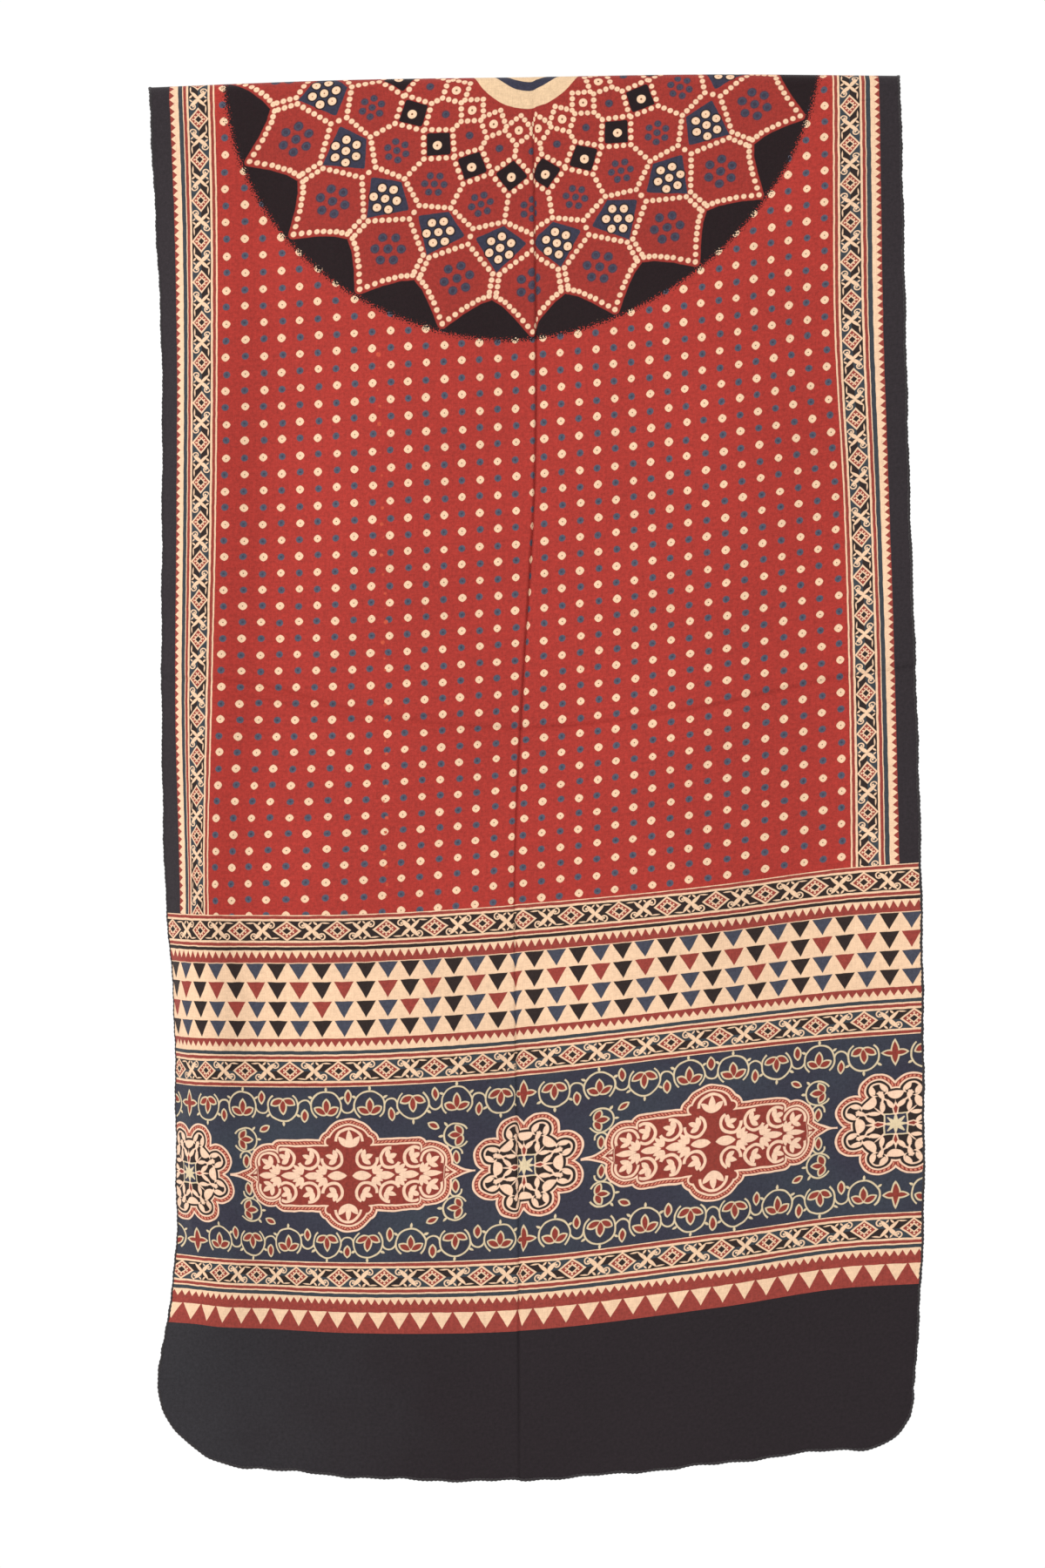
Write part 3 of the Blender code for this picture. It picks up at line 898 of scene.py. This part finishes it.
def chequered(inks, depth, run):
    """The outline of a figure: cream, a dashed pinkish row, cream; depth grows inwards."""
    inks.lay(PANEL_CREAM, cover(-depth, EDGE))
    inks.lay(PANEL_RED, cover(band(depth, 1.36, OUTLINE), EDGE))
    dash = band(bounce(run, 1.36), 0.0, 0.65)
    inks.lay(PINK, cover(dash, EDGE) * cover(band(depth, 2.07, 3.49), EDGE))
    inks.lay(PANEL_CREAM, cover(OUTLINE - depth, EDGE))


def cartouche_edge(c, b):
    """Signed distance to the cartouche's outline, negative inside; its sizes were read off the photo."""
    body = length(most(c - 50.4, 0.0), most(b - 20.0, 0.0)) - 7.8
    end = length(c - 60.1, b - 8.7) - 15.8
    crown = length(c, b - 22.6) - 20.7
    shoulder = length(c - 14.2, b - 25.9) - 8.4
    beyond = 92.5 - c
    tip = most((b - 0.65 - beyond * beyond * 0.0209) * 0.9, -beyond, beyond - 27.8)
    low_end = most(c - 75.0, b - 12.9)
    return least(body, end, crown, shoulder, tip, low_end)


def lay_cartouche(pen, inks, c, b, run):
    """A lobed cartouche of cream scrolls on red; c and b are taken from its middle."""
    edge = cartouche_edge(c, b)
    inks.lay(PANEL_CREAM, cover(edge, EDGE))
    chequered(inks, -edge, run)
    inks.lay(PANEL_RED, cover(edge + 5.37, EDGE))
    place = pen.join(c, b)
    scrolls, palmettes = cartouche_work()
    work = least(arcs_of(pen, place, scrolls), leaves_of(pen, place, palmettes))
    inks.lay(PANEL_CREAM, cover(work, EDGE) * cover(edge + 6.14, EDGE))


def lay_rosette(pen, inks, a, b):
    """An eight-lobed rosette on black, with a star in a square; its rim's sizes were read off the photo."""
    x, y = a * 0.955, b * 1.06
    radius = length(x, y)
    angle = pen.math("ARCTAN2", y, x)
    folded = bounce(angle, ROSETTE_FOLD)
    petal = pen.join(radius * pen.math("COSINE", folded), radius * pen.math("SINE", folded))
    lobe = polar(67.5, 29.4)
    rim = least(spot(pen, petal, *lobe, 13.3), radius - 33.6)
    inks.lay(PANEL_CREAM, cover(rim, EDGE))
    chequered(inks, -rim, angle * 41.4)
    for depth, colour in ((5.3, TRIANGLE_BLACK), (7.2, PANEL_CREAM), (8.5, TRIANGLE_BLACK)):
        inks.lay(colour, cover(rim + depth, EDGE))
    hooks, fronds = rosette_work()
    work = least(leaves_of(pen, petal, fronds), arcs_of(pen, petal, hooks))
    inks.lay(PANEL_CREAM, cover(work, EDGE) * cover(rim + 7.8, EDGE))
    square = most(a, b) - 7.8
    inks.lay(NAVY, cover(square, EDGE))
    inks.lay(VINE_CREAM, cover(least(strokes(pen, petal, STAR), abs(square) - 0.5), EDGE))
    axis = pen.join(most(a, b), least(a, b))
    inks.lay(PANEL_CREAM, cover(strokes(pen, axis, KNOB), EDGE))
    inks.lay(PANEL_RED, cover(strokes(pen, axis, KNOB_HEART), EDGE))


def figured_panel(pen, u, v, t, where):
    """Rosettes and lobed cartouches by turns among vines, drawn once in a quarter and mirrored."""
    sway = pen.join(u * 0.06, t * 0.06)
    a = bounce(u, PANEL_PERIOD) + pen.noise(sway, 1.0, 1.0) * 1.16
    b = abs(PANEL_MIDDLE - t) + pen.noise(sway, 1.3, 1.0) * 0.97
    place = pen.join(a, b)
    inks = Inks(pen, PANEL_NAVY)
    inks.lay(PANEL_TEAL, clamp01(madd(pen.noise(where, 0.014, 2.0), 1.6, 0.25)) * 0.8)

    arcs, thorns, greenery = vine()
    leaves = leaves_of(pen, place, greenery)
    stems = least(arcs_of(pen, place, arcs), leaves_of(pen, place, thorns))
    inks.lay(VINE_CREAM, cover(least(stems, leaves - 0.39), EDGE))
    inks.lay(PANEL_RED, cover(leaves + 0.71, EDGE))
    lay_cartouche(pen, inks, PANEL_PERIOD - a, b, a + b)
    lay_rosette(pen, inks, a, b)
    return inks


def dark_end(pen, u, v, t, where):
    """The plain dark end, with a painted sheen that makes it greyer towards the left."""
    inks = Inks(pen, END_BLACK)
    # Painted sheen: a greyer black laid over the left part of the dark end.
    inks.lay(SHEEN_BLACK, clamp01(madd(u + pen.noise(where, 0.02, 2.0) * 60.0, -0.0045, -0.25)))
    return inks


def reverse(pen, u, v, t, where):
    """The paler back of the cloth, where the print only shines through."""
    into = HALF * 1000.0 - abs(u)
    inks = Inks(pen, dye(150, 84, 76))
    column, du = cell(u, DOT_PITCH[0])
    row, dw = cell(abs(v) - DOT_START, DOT_PITCH[1])
    inks.lay(dye(176, 132, 116), cover(length(du, dw) - 2.9, 1.6) * (1.0 - odd(column + row)) * 0.8)
    inks.lay(dye(92, 86, 92), cover(length(u, v) - 214.0, 3.0) * 0.75)
    inks.lay(dye(150, 84, 76), cover(length(u, v) - 196.0, 8.0) * 0.7)
    inks.lay(dye(152, 132, 118), cover(into - 50.0, 1.5))
    inks.lay(dye(104, 98, 100), cover(band(into, 30.5, 44.5), 2.0) * 0.7)
    inks.lay(dye(168, 148, 130), cover(-t, 2.0))
    inks.lay(dye(110, 104, 108), cover(band(t, 128.7, 262.6), 2.5))
    inks.lay(dye(150, 120, 112), cover(band(t, 150.0, 241.0), 6.0) * 0.5)
    inks.lay(dye(84, 79, 82), cover(316.0 - t, 2.0))
    inks.lay(dye(84, 79, 82), cover(into - 15.5, 1.5))
    return inks


# ---------------------------------------------------------------- the cloth's surface
def cotton(name, draw):
    """A finished cotton material: its print, uneven dye, weave and soft sheen."""
    material = bpy.data.materials.new(name)
    material.use_nodes = True
    tree = material.node_tree
    tree.nodes.clear()
    pen = Pen(material)
    u, v, t = pen.split(pen.attribute("print"))
    flat = pen.join(u, v)
    shift = pen.noise(flat, 0.11, 1.0) * 0.45
    drift = pen.noise(pen.join(u + 300.0, v), 0.13, 1.0) * 0.45
    inks = draw(pen, u + shift, v + drift, t + drift, flat)

    clouds = pen.noise(flat, 0.011, 3.0, 0.55)
    grain = pen.noise(flat, 0.42, 3.0, 0.75)
    rubbed = pen.noise(flat, 0.16, 4.0, 0.65)
    warp = pen.noise(pen.join(u * 1.7, v * 0.11), 1.0, 2.0)
    weft = pen.noise(pen.join(u * 0.11, v * 1.7), 1.0, 2.0)
    bright = pen.node("ShaderNodeRGBToBW")
    pen.feed(bright.inputs[0], inks.colour)
    coarse = grain * madd(Num(pen, bright.outputs[0]), -0.75, 0.62)
    tone = 1.0 + clouds * 0.12 + rubbed * 0.12 + coarse + (warp + weft) * 0.18
    colour = pen.shade(inks.colour, tone)

    thread_u = pen.math("SINE", u * (2.0 * math.pi / 0.62))
    thread_v = pen.math("SINE", v * (2.0 * math.pi / 0.62))
    height = (thread_u * thread_v) * 0.05 + (warp + weft) * 0.10 + pen.noise(flat, 0.045, 3.0, 0.6) * 0.9
    bump = pen.node("ShaderNodeBump")
    bump.inputs["Strength"].default_value = 0.55
    bump.inputs["Distance"].default_value = MM
    pen.feed(bump.inputs["Height"], height)

    surface = pen.node("ShaderNodeBsdfPrincipled")
    surface.inputs["Specular IOR Level"].default_value = 0.16
    surface.inputs["Sheen Weight"].default_value = 0.10
    surface.inputs["Sheen Roughness"].default_value = 0.45
    surface.inputs["Sheen Tint"].default_value = (1.0, 0.95, 0.95, 1.0)
    pen.feed(surface.inputs["Base Color"], colour)
    pen.feed(surface.inputs["Roughness"], 0.74 + rubbed * 0.10 + (warp + weft) * 0.06)
    pen.feed(surface.inputs["Normal"], bump.outputs[0])
    output = pen.node("ShaderNodeOutputMaterial")
    tree.links.new(surface.outputs[0], output.inputs["Surface"])
    return material


def thread_material():
    """The black overcasting thread along the edges."""
    material = bpy.data.materials.new("overcast_thread")
    material.use_nodes = True
    material.node_tree.nodes.clear()
    pen = Pen(material)
    run, turn, _ = pen.split(pen.attribute("print"))
    ply = pen.math("SINE", run * 4.2 + turn * 9.0)
    speck = pen.noise(pen.join(run, turn), 0.35, 2.0)
    # The colour follows the ply's twist, lighter on its ridges and darker in its grooves, which is painted
    # shade that goes with the bump. The specks are the thread's own uneven tone.
    colour = pen.shade(dye(50, 44, 46), 1.0 + ply * 0.22 + speck * 0.35)
    bump = pen.node("ShaderNodeBump")
    bump.inputs["Strength"].default_value = 0.5
    bump.inputs["Distance"].default_value = 0.3 * MM
    pen.feed(bump.inputs["Height"], ply)
    surface = pen.node("ShaderNodeBsdfPrincipled")
    surface.inputs["Specular IOR Level"].default_value = 0.25
    surface.inputs["Sheen Weight"].default_value = 0.2
    pen.feed(surface.inputs["Base Color"], colour)
    pen.feed(surface.inputs["Roughness"], 0.66 + speck * 0.12)
    pen.feed(surface.inputs["Normal"], bump.outputs[0])
    output = pen.node("ShaderNodeOutputMaterial")
    material.node_tree.links.new(surface.outputs[0], output.inputs["Surface"])
    return material


MATERIALS = [
    cotton("medallion_print", medallion),
    cotton("dotted_field_print", speckled_field),
    cotton("side_border_print", side_border),
    cotton("upper_end_print", upper_end),
    cotton("figured_panel_print", figured_panel),
    cotton("lower_end_print", lower_end),
    # The dark end's material holds its black dye and a painted sheen towards the left.
    cotton("dark_end_dye_and_sheen", dark_end),
    cotton("reverse_side", reverse),
]
MEDALLION, FIELD, SIDE, UPPER_END, PANEL, LOWER_END, DARK_END, REVERSE = range(8)


# ---------------------------------------------------------------- the two layers of the cloth
def steps(start, stop, size):
    """Even steps from start up to stop, stop left out."""
    count = max(1, math.ceil(abs(stop - start) / size - 1e-6))
    return list(np.linspace(start, stop, count, endpoint=False))


def across_lines(fine):
    """Places of the columns over the cloth's width: closer at the edges, the left flutes and the crease."""
    edge = [0.0, 0.00015, 0.0006, 0.0014, 0.0026]
    lines = [-HALF + gap for gap in edge]
    lines += steps(-HALF + 0.0040, -FIELD_HALF, 0.0028 * fine)
    lines += steps(-FIELD_HALF, FLUTE_EDGE, 0.0030 * fine)
    lines += steps(FLUTE_EDGE, -CREASE_BAND, 0.0056 * fine)
    lines += steps(-CREASE_BAND, CREASE_BAND, 0.0011 * fine)
    lines += steps(CREASE_BAND, FIELD_HALF, 0.0056 * fine)
    lines += steps(FIELD_HALF, HALF - 0.0040, 0.0036 * fine)
    lines += [HALF - gap for gap in reversed(edge)]
    return np.array(lines)


def hem_waver(across):
    """The hem isn't cut quite straight."""
    return 0.0006 * np.sin(across * 83.0) + 0.0005 * np.sin(across * 231.0 + 1.0)


def front_rows(across):
    """Rows of the front layer: how far along the cloth each one runs, and the print below it."""
    start = crown_along(across)
    end_line = END_LINE + END_SKEW * across
    hem = FRONT_LENGTH + HEM_SKEW * across - corner_rise(across) + hem_waver(across)
    bend = start + BEND
    level = np.zeros_like(across)
    cross = line_value(CROSS_CREASE, across)
    parts = (
        (start, bend, 8, MEDALLION),
        (bend, level + MEDALLION_END, 46, MEDALLION),
        (level + MEDALLION_END, cross - CROSS_BAND, 56, FIELD),
        (cross - CROSS_BAND, cross + CROSS_BAND, 14, FIELD),
        (cross + CROSS_BAND, end_line, 30, FIELD),
        (end_line, end_line + PANEL_START, 34, UPPER_END),
        (end_line + PANEL_START, end_line + PANEL_STOP, 36, PANEL),
        (end_line + PANEL_STOP, end_line + DARK_START, 14, LOWER_END),
        (end_line + DARK_START, hem, 34, DARK_END),
    )
    return lay_rows(parts)


def back_rows(across):
    """Rows of the hidden back layer, from the crown down."""
    start = crown_along(across)
    end_line = -BACK_END_LINE + END_SKEW * across + MEDALLION_ALONG
    hem = -BACK_LENGTH + HEM_SKEW * across + corner_rise(across) + hem_waver(across + 1.0)
    bend = start - BEND
    level = np.zeros_like(across)
    parts = (
        (start, bend, 8, MEDALLION),
        (bend, level - BACK_MEDALLION_END, 22, MEDALLION),
        (level - BACK_MEDALLION_END, end_line, 26, FIELD),
        (end_line, end_line - PANEL_START, 11, UPPER_END),
        (end_line - PANEL_START, end_line - PANEL_STOP, 12, PANEL),
        (end_line - PANEL_STOP, end_line - DARK_START, 5, LOWER_END),
        (end_line - DARK_START, hem, 12, DARK_END),
    )
    return lay_rows(parts)


def lay_rows(parts):
    """Evenly spaced rows through each part, and which print each strip between two rows has."""
    rows, prints = [], []
    for begin, stop, count, kind in parts:
        for share in np.linspace(0.0, 1.0, count, endpoint=False):
            rows.append(begin + (stop - begin) * share)
            prints.append(kind)
    rows.append(parts[-1][1])
    return np.array(rows), prints


# Faint creases of the packing: from (across, along) to (across, along), depth and half width.
FAINT_CREASES = (
    ((-0.236, 0.450), (-0.040, 0.494), 0.0016, 0.0035),
    ((-0.120, 0.466), (-0.020, 0.476), -0.0008, 0.0035),
    ((0.020, 0.495), (0.120, 0.494), -0.0009, 0.0045),
    ((-0.235, 0.185), (0.020, 0.196), 0.0007, 0.004),
    ((0.120, 0.222), (0.175, 0.212), 0.0008, 0.004),
    ((0.180, 0.268), (0.235, 0.258), 0.0008, 0.004),
    ((0.130, 0.590), (0.150, 0.700), 0.0006, 0.003),
    ((-0.230, 0.600), (-0.200, 0.700), 0.0012, 0.005),
    ((0.020, 0.960), (0.150, 1.010), -0.0008, 0.007),
    ((0.100, 0.975), (0.230, 1.030), -0.0008, 0.007),
    ((-0.200, 0.980), (-0.080, 1.005), -0.0007, 0.007),
    ((-0.262, 0.815), (-0.235, 0.872), 0.0026, 0.004),
    ((-0.285, 0.805), (-0.262, 0.885), -0.0026, 0.005),
)


def faint_creases(across, along):
    """Depth of the faint creases at points of the flat cloth."""
    depth = np.zeros_like(across)
    for (x0, s0), (x1, s1), deep, half_width in FAINT_CREASES:
        step = np.array((x1 - x0, s1 - s0))
        size = step @ step
        share = np.clip(((across - x0) * step[0] + (along - s0) * step[1]) / size, 0.0, 1.0)
        gap = np.hypot(across - x0 - share * step[0], along - s0 - share * step[1])
        depth += deep * dent(gap, half_width) * np.sin(np.pi * np.clip(share, 0.05, 0.95)) ** 0.5
    return depth


def soft_waves(across, along):
    """Slight unevenness of hanging cotton, in metres."""
    slow = np.sin(across * 41.0 + 1.3 * np.sin(along * 9.0)) * np.sin(along * 12.0 + across * 6.0)
    quick = np.sin(across * 97.0 + along * 23.0) * np.sin(along * 61.0 - across * 31.0)
    return 0.0007 * slow + 0.00022 * quick


def surface_points(across, along):
    """Place of the cloth's middle with its faint creases."""
    points = hang(across, along)
    clear = np.clip((-points[:, 2] - 0.012) / 0.03, 0.0, 1.0)
    ruffle = (faint_creases(across, along) + soft_waves(across, along)) * clear
    points[:, 1] += ruffle * np.where(points[:, 1] < 0.0, 1.0, 0.4)
    waver = 0.00035 * np.sin(along * 97.0) + 0.0002 * np.sin(along * 433.0 + 2.0 * across)
    points[:, 0] += dent(HALF - np.abs(across), EDGE_BAND) * waver
    return points


def grid_normals(points):
    """Outward normals of a grid of points, rows by columns."""
    down = np.gradient(points, axis=0)
    over = np.gradient(points, axis=1)
    normal = np.cross(down, over)
    return normal / np.maximum(np.linalg.norm(normal, axis=2), 1e-12)[:, :, None]


def build_layer(name, rows, prints, across, front):
    """One layer as a closed thin sheet: printed skin, paler reverse and the cut edge between them."""
    count_rows, count_columns = rows.shape
    wide = np.broadcast_to(across, rows.shape)
    flat_u, flat_s = wide.ravel(), rows.ravel()
    middle = surface_points(flat_u, flat_s).reshape(count_rows, count_columns, 3)
    normal = grid_normals(middle)
    if (normal[count_rows // 2, :, 1].mean() > 0.0) == front:
        normal = -normal
    outer = middle + normal * (0.5 * SKIN)
    inner = middle - normal * (0.5 * SKIN)
    vertices = np.concatenate([outer.reshape(-1, 3), inner.reshape(-1, 3)])

    index = np.arange(count_rows * count_columns).reshape(count_rows, count_columns)
    a, b = index[:-1, :-1].ravel(), index[:-1, 1:].ravel()
    c, d = index[1:, 1:].ravel(), index[1:, :-1].ravel()
    skin = np.stack([a, b, c, d], axis=1)
    if front:
        skin = skin[:, ::-1]
    below = count_rows * count_columns
    inside = skin[:, ::-1] + below
    loop = np.concatenate([index[0, :], index[1:, -1], index[-1, -2::-1], index[-2:0:-1, 0]])
    following = np.roll(loop, -1)
    rim = np.stack([loop, following, following + below, loop + below], axis=1)
    if not front:
        rim = rim[:, ::-1]
    faces = np.concatenate([skin, inside, rim])

    mesh = bpy.data.meshes.new(name)
    mesh.from_pydata(vertices.tolist(), [], faces.tolist())
    for material in MATERIALS:
        mesh.materials.append(material)

    column_middle = 0.5 * (across[:-1] + across[1:])
    kinds = np.repeat(np.array(prints)[:, None], count_columns - 1, axis=1)
    at_side = np.abs(column_middle) > FIELD_HALF
    upper = (kinds == MEDALLION) | (kinds == FIELD)
    kinds = np.where(upper & at_side[None, :], SIDE, kinds)
    every = np.concatenate([kinds.ravel(), np.full(len(inside) + len(rim), REVERSE)])
    mesh.polygons.foreach_set("material_index", every.astype(np.int32))
    mesh.polygons.foreach_set("use_smooth", np.ones(len(faces), dtype=bool))

    v = flat_s / MM - MEDALLION_ALONG / MM
    if front:
        t = (flat_s - END_LINE - END_SKEW * flat_u) / MM
    else:
        t = (-BACK_END_LINE + MEDALLION_ALONG + END_SKEW * flat_u - flat_s) / MM
    flat_print = np.stack([flat_u / MM, v, t], axis=1)
    attribute = mesh.attributes.new("print", "FLOAT_VECTOR", "POINT")
    attribute.data.foreach_set("vector", np.tile(flat_print, (2, 1)).astype(np.float32).ravel())

    spread = np.concatenate([normal.reshape(-1, 3), -normal.reshape(-1, 3)])
    corner_of = np.empty(len(mesh.loops), dtype=np.int32)
    mesh.loops.foreach_get("vertex_index", corner_of)
    lay_map(mesh, corner_of, flat_u, flat_s, len(skin), len(inside), below)
    mesh.normals_split_custom_set(spread[corner_of].tolist())
    layer = bpy.data.objects.new(name, mesh)
    bpy.context.scene.collection.objects.link(layer)
    return layer, middle, normal


def lay_map(mesh, corner_of, flat_u, flat_s, skin_faces, inside_faces, below):
    """A flat map of the sheet: most for the printed skin, a narrow strip for the reverse and the edge."""
    across_share = (flat_u + HALF) / WIDTH
    along_share = (flat_s - flat_s.min()) / (flat_s.max() - flat_s.min())
    place = corner_of % below
    corners = np.stack([across_share[place], along_share[place]], axis=1)
    first, second = skin_faces * 4, (skin_faces + inside_faces) * 4
    corners[:first, 0] = 0.004 + corners[:first, 0] * 0.850
    corners[first:second, 0] = 0.862 + corners[first:second, 0] * 0.120
    corners[second:, 0] = np.where(corner_of[second:] < below, 0.988, 0.994)
    corners[:, 1] = 0.003 + corners[:, 1] * 0.994
    layer = mesh.uv_layers.new(name="OFBake")
    layer.data.foreach_set("uv", corners.astype(np.float32).ravel())


# ---------------------------------------------------------------- overcast edges
STITCH = 0.0032               # from one stitch of the overcasting to the next
RING = 7                      # corners of the hem's section
TURN_STEP = 0.0008


def hem_path(middle, normal):
    """Points and normals along the free edges: down one side, along the bottom and up the other."""
    points = np.concatenate([middle[:, 0], middle[-1, 1:], middle[-2::-1, -1]])
    normals = np.concatenate([normal[:, 0], normal[-1, 1:], normal[-2::-1, -1]])
    run = np.concatenate([[0.0], np.cumsum(np.linalg.norm(np.diff(points, axis=0), axis=1))])
    keep = np.concatenate([[True], np.diff(run) > 1e-6])
    points, normals, run = points[keep], normals[keep], run[keep]
    at = np.linspace(0.0, run[-1], int(run[-1] / TURN_STEP))
    points = np.stack([np.interp(at, run, points[:, k]) for k in range(3)], axis=1)
    normals = np.stack([np.interp(at, run, normals[:, k]) for k in range(3)], axis=1)
    return at, points, normals / np.linalg.norm(normals, axis=1)[:, None]


def build_hem(name, middle, normal):
    """The rolled, overcast edge of one layer."""
    at, points, normals = hem_path(middle, normal)
    ahead = np.gradient(points, axis=0)
    ahead /= np.maximum(np.linalg.norm(ahead, axis=1), 1e-12)[:, None]
    outward = np.cross(ahead, normals)
    outward /= np.linalg.norm(outward, axis=1)[:, None]
    phase = at / STITCH
    swell = 0.5 + 0.5 * np.cos(2.0 * np.pi * phase)
    uneven = 0.12 * np.sin(at * 173.0) + 0.10 * np.sin(at * 411.0 + 1.0)
    vertices, places = [], []
    for corner in range(RING):
        turn = 2.0 * np.pi * corner / RING
        slant = 0.5 + 0.5 * np.cos(2.0 * np.pi * phase - 1.1 * np.sin(turn))
        out = math.cos(turn) * (0.00075 * (1.0 + uneven) + 0.00045 * slant) + 0.00010
        thick = math.sin(turn) * (0.00062 + 0.00028 * slant)
        vertices.append(points + (outward * out[:, None] + normals * thick[:, None]))
        places.append(np.stack([at / MM, np.full_like(at, turn), swell], axis=1))
    vertices = np.stack(vertices, axis=1).reshape(-1, 3)
    places = np.stack(places, axis=1).reshape(-1, 3)
    count = len(at)
    index = np.arange(count * RING).reshape(count, RING)
    near, far = index[:-1], index[1:]
    around = [near, far, np.roll(far, -1, axis=1), np.roll(near, -1, axis=1)]
    faces = np.stack(around, axis=2).reshape(-1, 4)
    mesh = bpy.data.meshes.new(name)
    caps = [index[0].tolist(), index[-1][::-1].tolist()]
    mesh.from_pydata(vertices.tolist(), [], faces.tolist() + caps)
    attribute = mesh.attributes.new("print", "FLOAT_VECTOR", "POINT")
    attribute.data.foreach_set("vector", places.astype(np.float32).ravel())
    mesh.materials.append(THREAD)
    mesh.polygons.foreach_set("use_smooth", np.ones(len(mesh.polygons), dtype=bool))
    rolled = bmesh.new()
    rolled.from_mesh(mesh)
    bmesh.ops.recalc_face_normals(rolled, faces=rolled.faces)
    rolled.to_mesh(mesh)
    rolled.free()
    hem = bpy.data.objects.new(name, mesh)
    bpy.context.scene.collection.objects.link(hem)
    return hem


THREAD = thread_material()



def make_side(side, coarseness, rows_of):
    """One layer of the cloth and its hem."""
    across = across_lines(coarseness)
    rows, prints = rows_of(across)
    layer, middle, normal = build_layer(side + "_layer", rows, prints, across, side == "front")
    return layer, build_hem(side + "_hem", middle, normal)


front_layer, front_hem = make_side("front", 1.0, front_rows)
back_layer, back_hem = make_side("back", 1.9, back_rows)

for piece in (front_layer, front_hem, back_layer, back_hem):
    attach(piece, "root")
    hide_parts("cloth")


# ---------------------------------------------------------------- room, light and camera
VIEW_HEIGHT = 1.164           # what the photograph takes in, top to bottom, at the cloth
CAMERA_AWAY = 3.2
CAMERA_UP = -0.526
SKY_STRENGTH = 1.02
LAMP_POWER = 62.0
LAMP_SIZE = 1.1
LAMP_COLOUR = (1.0, 0.985, 0.965)
LAMP_PLACE = (-2.3, -2.4, 0.9)
CLOTH_MIDDLE = (0.0, 0.0, -0.5)
SENSOR = 24.0


def make_light():
    """A white sky and one large soft lamp, from the upper left in front. There is no floor."""
    world = bpy.data.worlds.new("white_room")
    world.use_nodes = True
    sky = world.node_tree.nodes["Background"]
    sky.inputs["Color"].default_value = (1.0, 1.0, 1.0, 1.0)
    sky.inputs["Strength"].default_value = SKY_STRENGTH
    bpy.context.scene.world = world
    lamp = bpy.data.lights.new("soft_lamp", "AREA")
    lamp.energy = LAMP_POWER
    lamp.size = LAMP_SIZE
    lamp.color = LAMP_COLOUR
    holder = bpy.data.objects.new("soft_lamp", lamp)
    holder.location = LAMP_PLACE
    aim = Vector(CLOTH_MIDDLE) - holder.location
    holder.rotation_euler = aim.to_track_quat("-Z", "Y").to_euler()
    bpy.context.scene.collection.objects.link(holder)


def make_camera():
    """Square on to the cloth, from a few metres away."""
    camera = bpy.data.cameras.new("camera")
    camera.sensor_fit = "VERTICAL"
    camera.sensor_height = SENSOR
    camera.lens = SENSOR * (CAMERA_AWAY - 0.010) / VIEW_HEIGHT
    holder = bpy.data.objects.new("camera", camera)
    holder.location = (0.0, -CAMERA_AWAY, CAMERA_UP)
    holder.rotation_euler = (math.pi / 2.0, 0.0, 0.0)
    bpy.context.scene.collection.objects.link(holder)
    bpy.context.scene.camera = holder


make_light()
make_camera()
bpy.context.scene.view_settings.view_transform = "Standard"
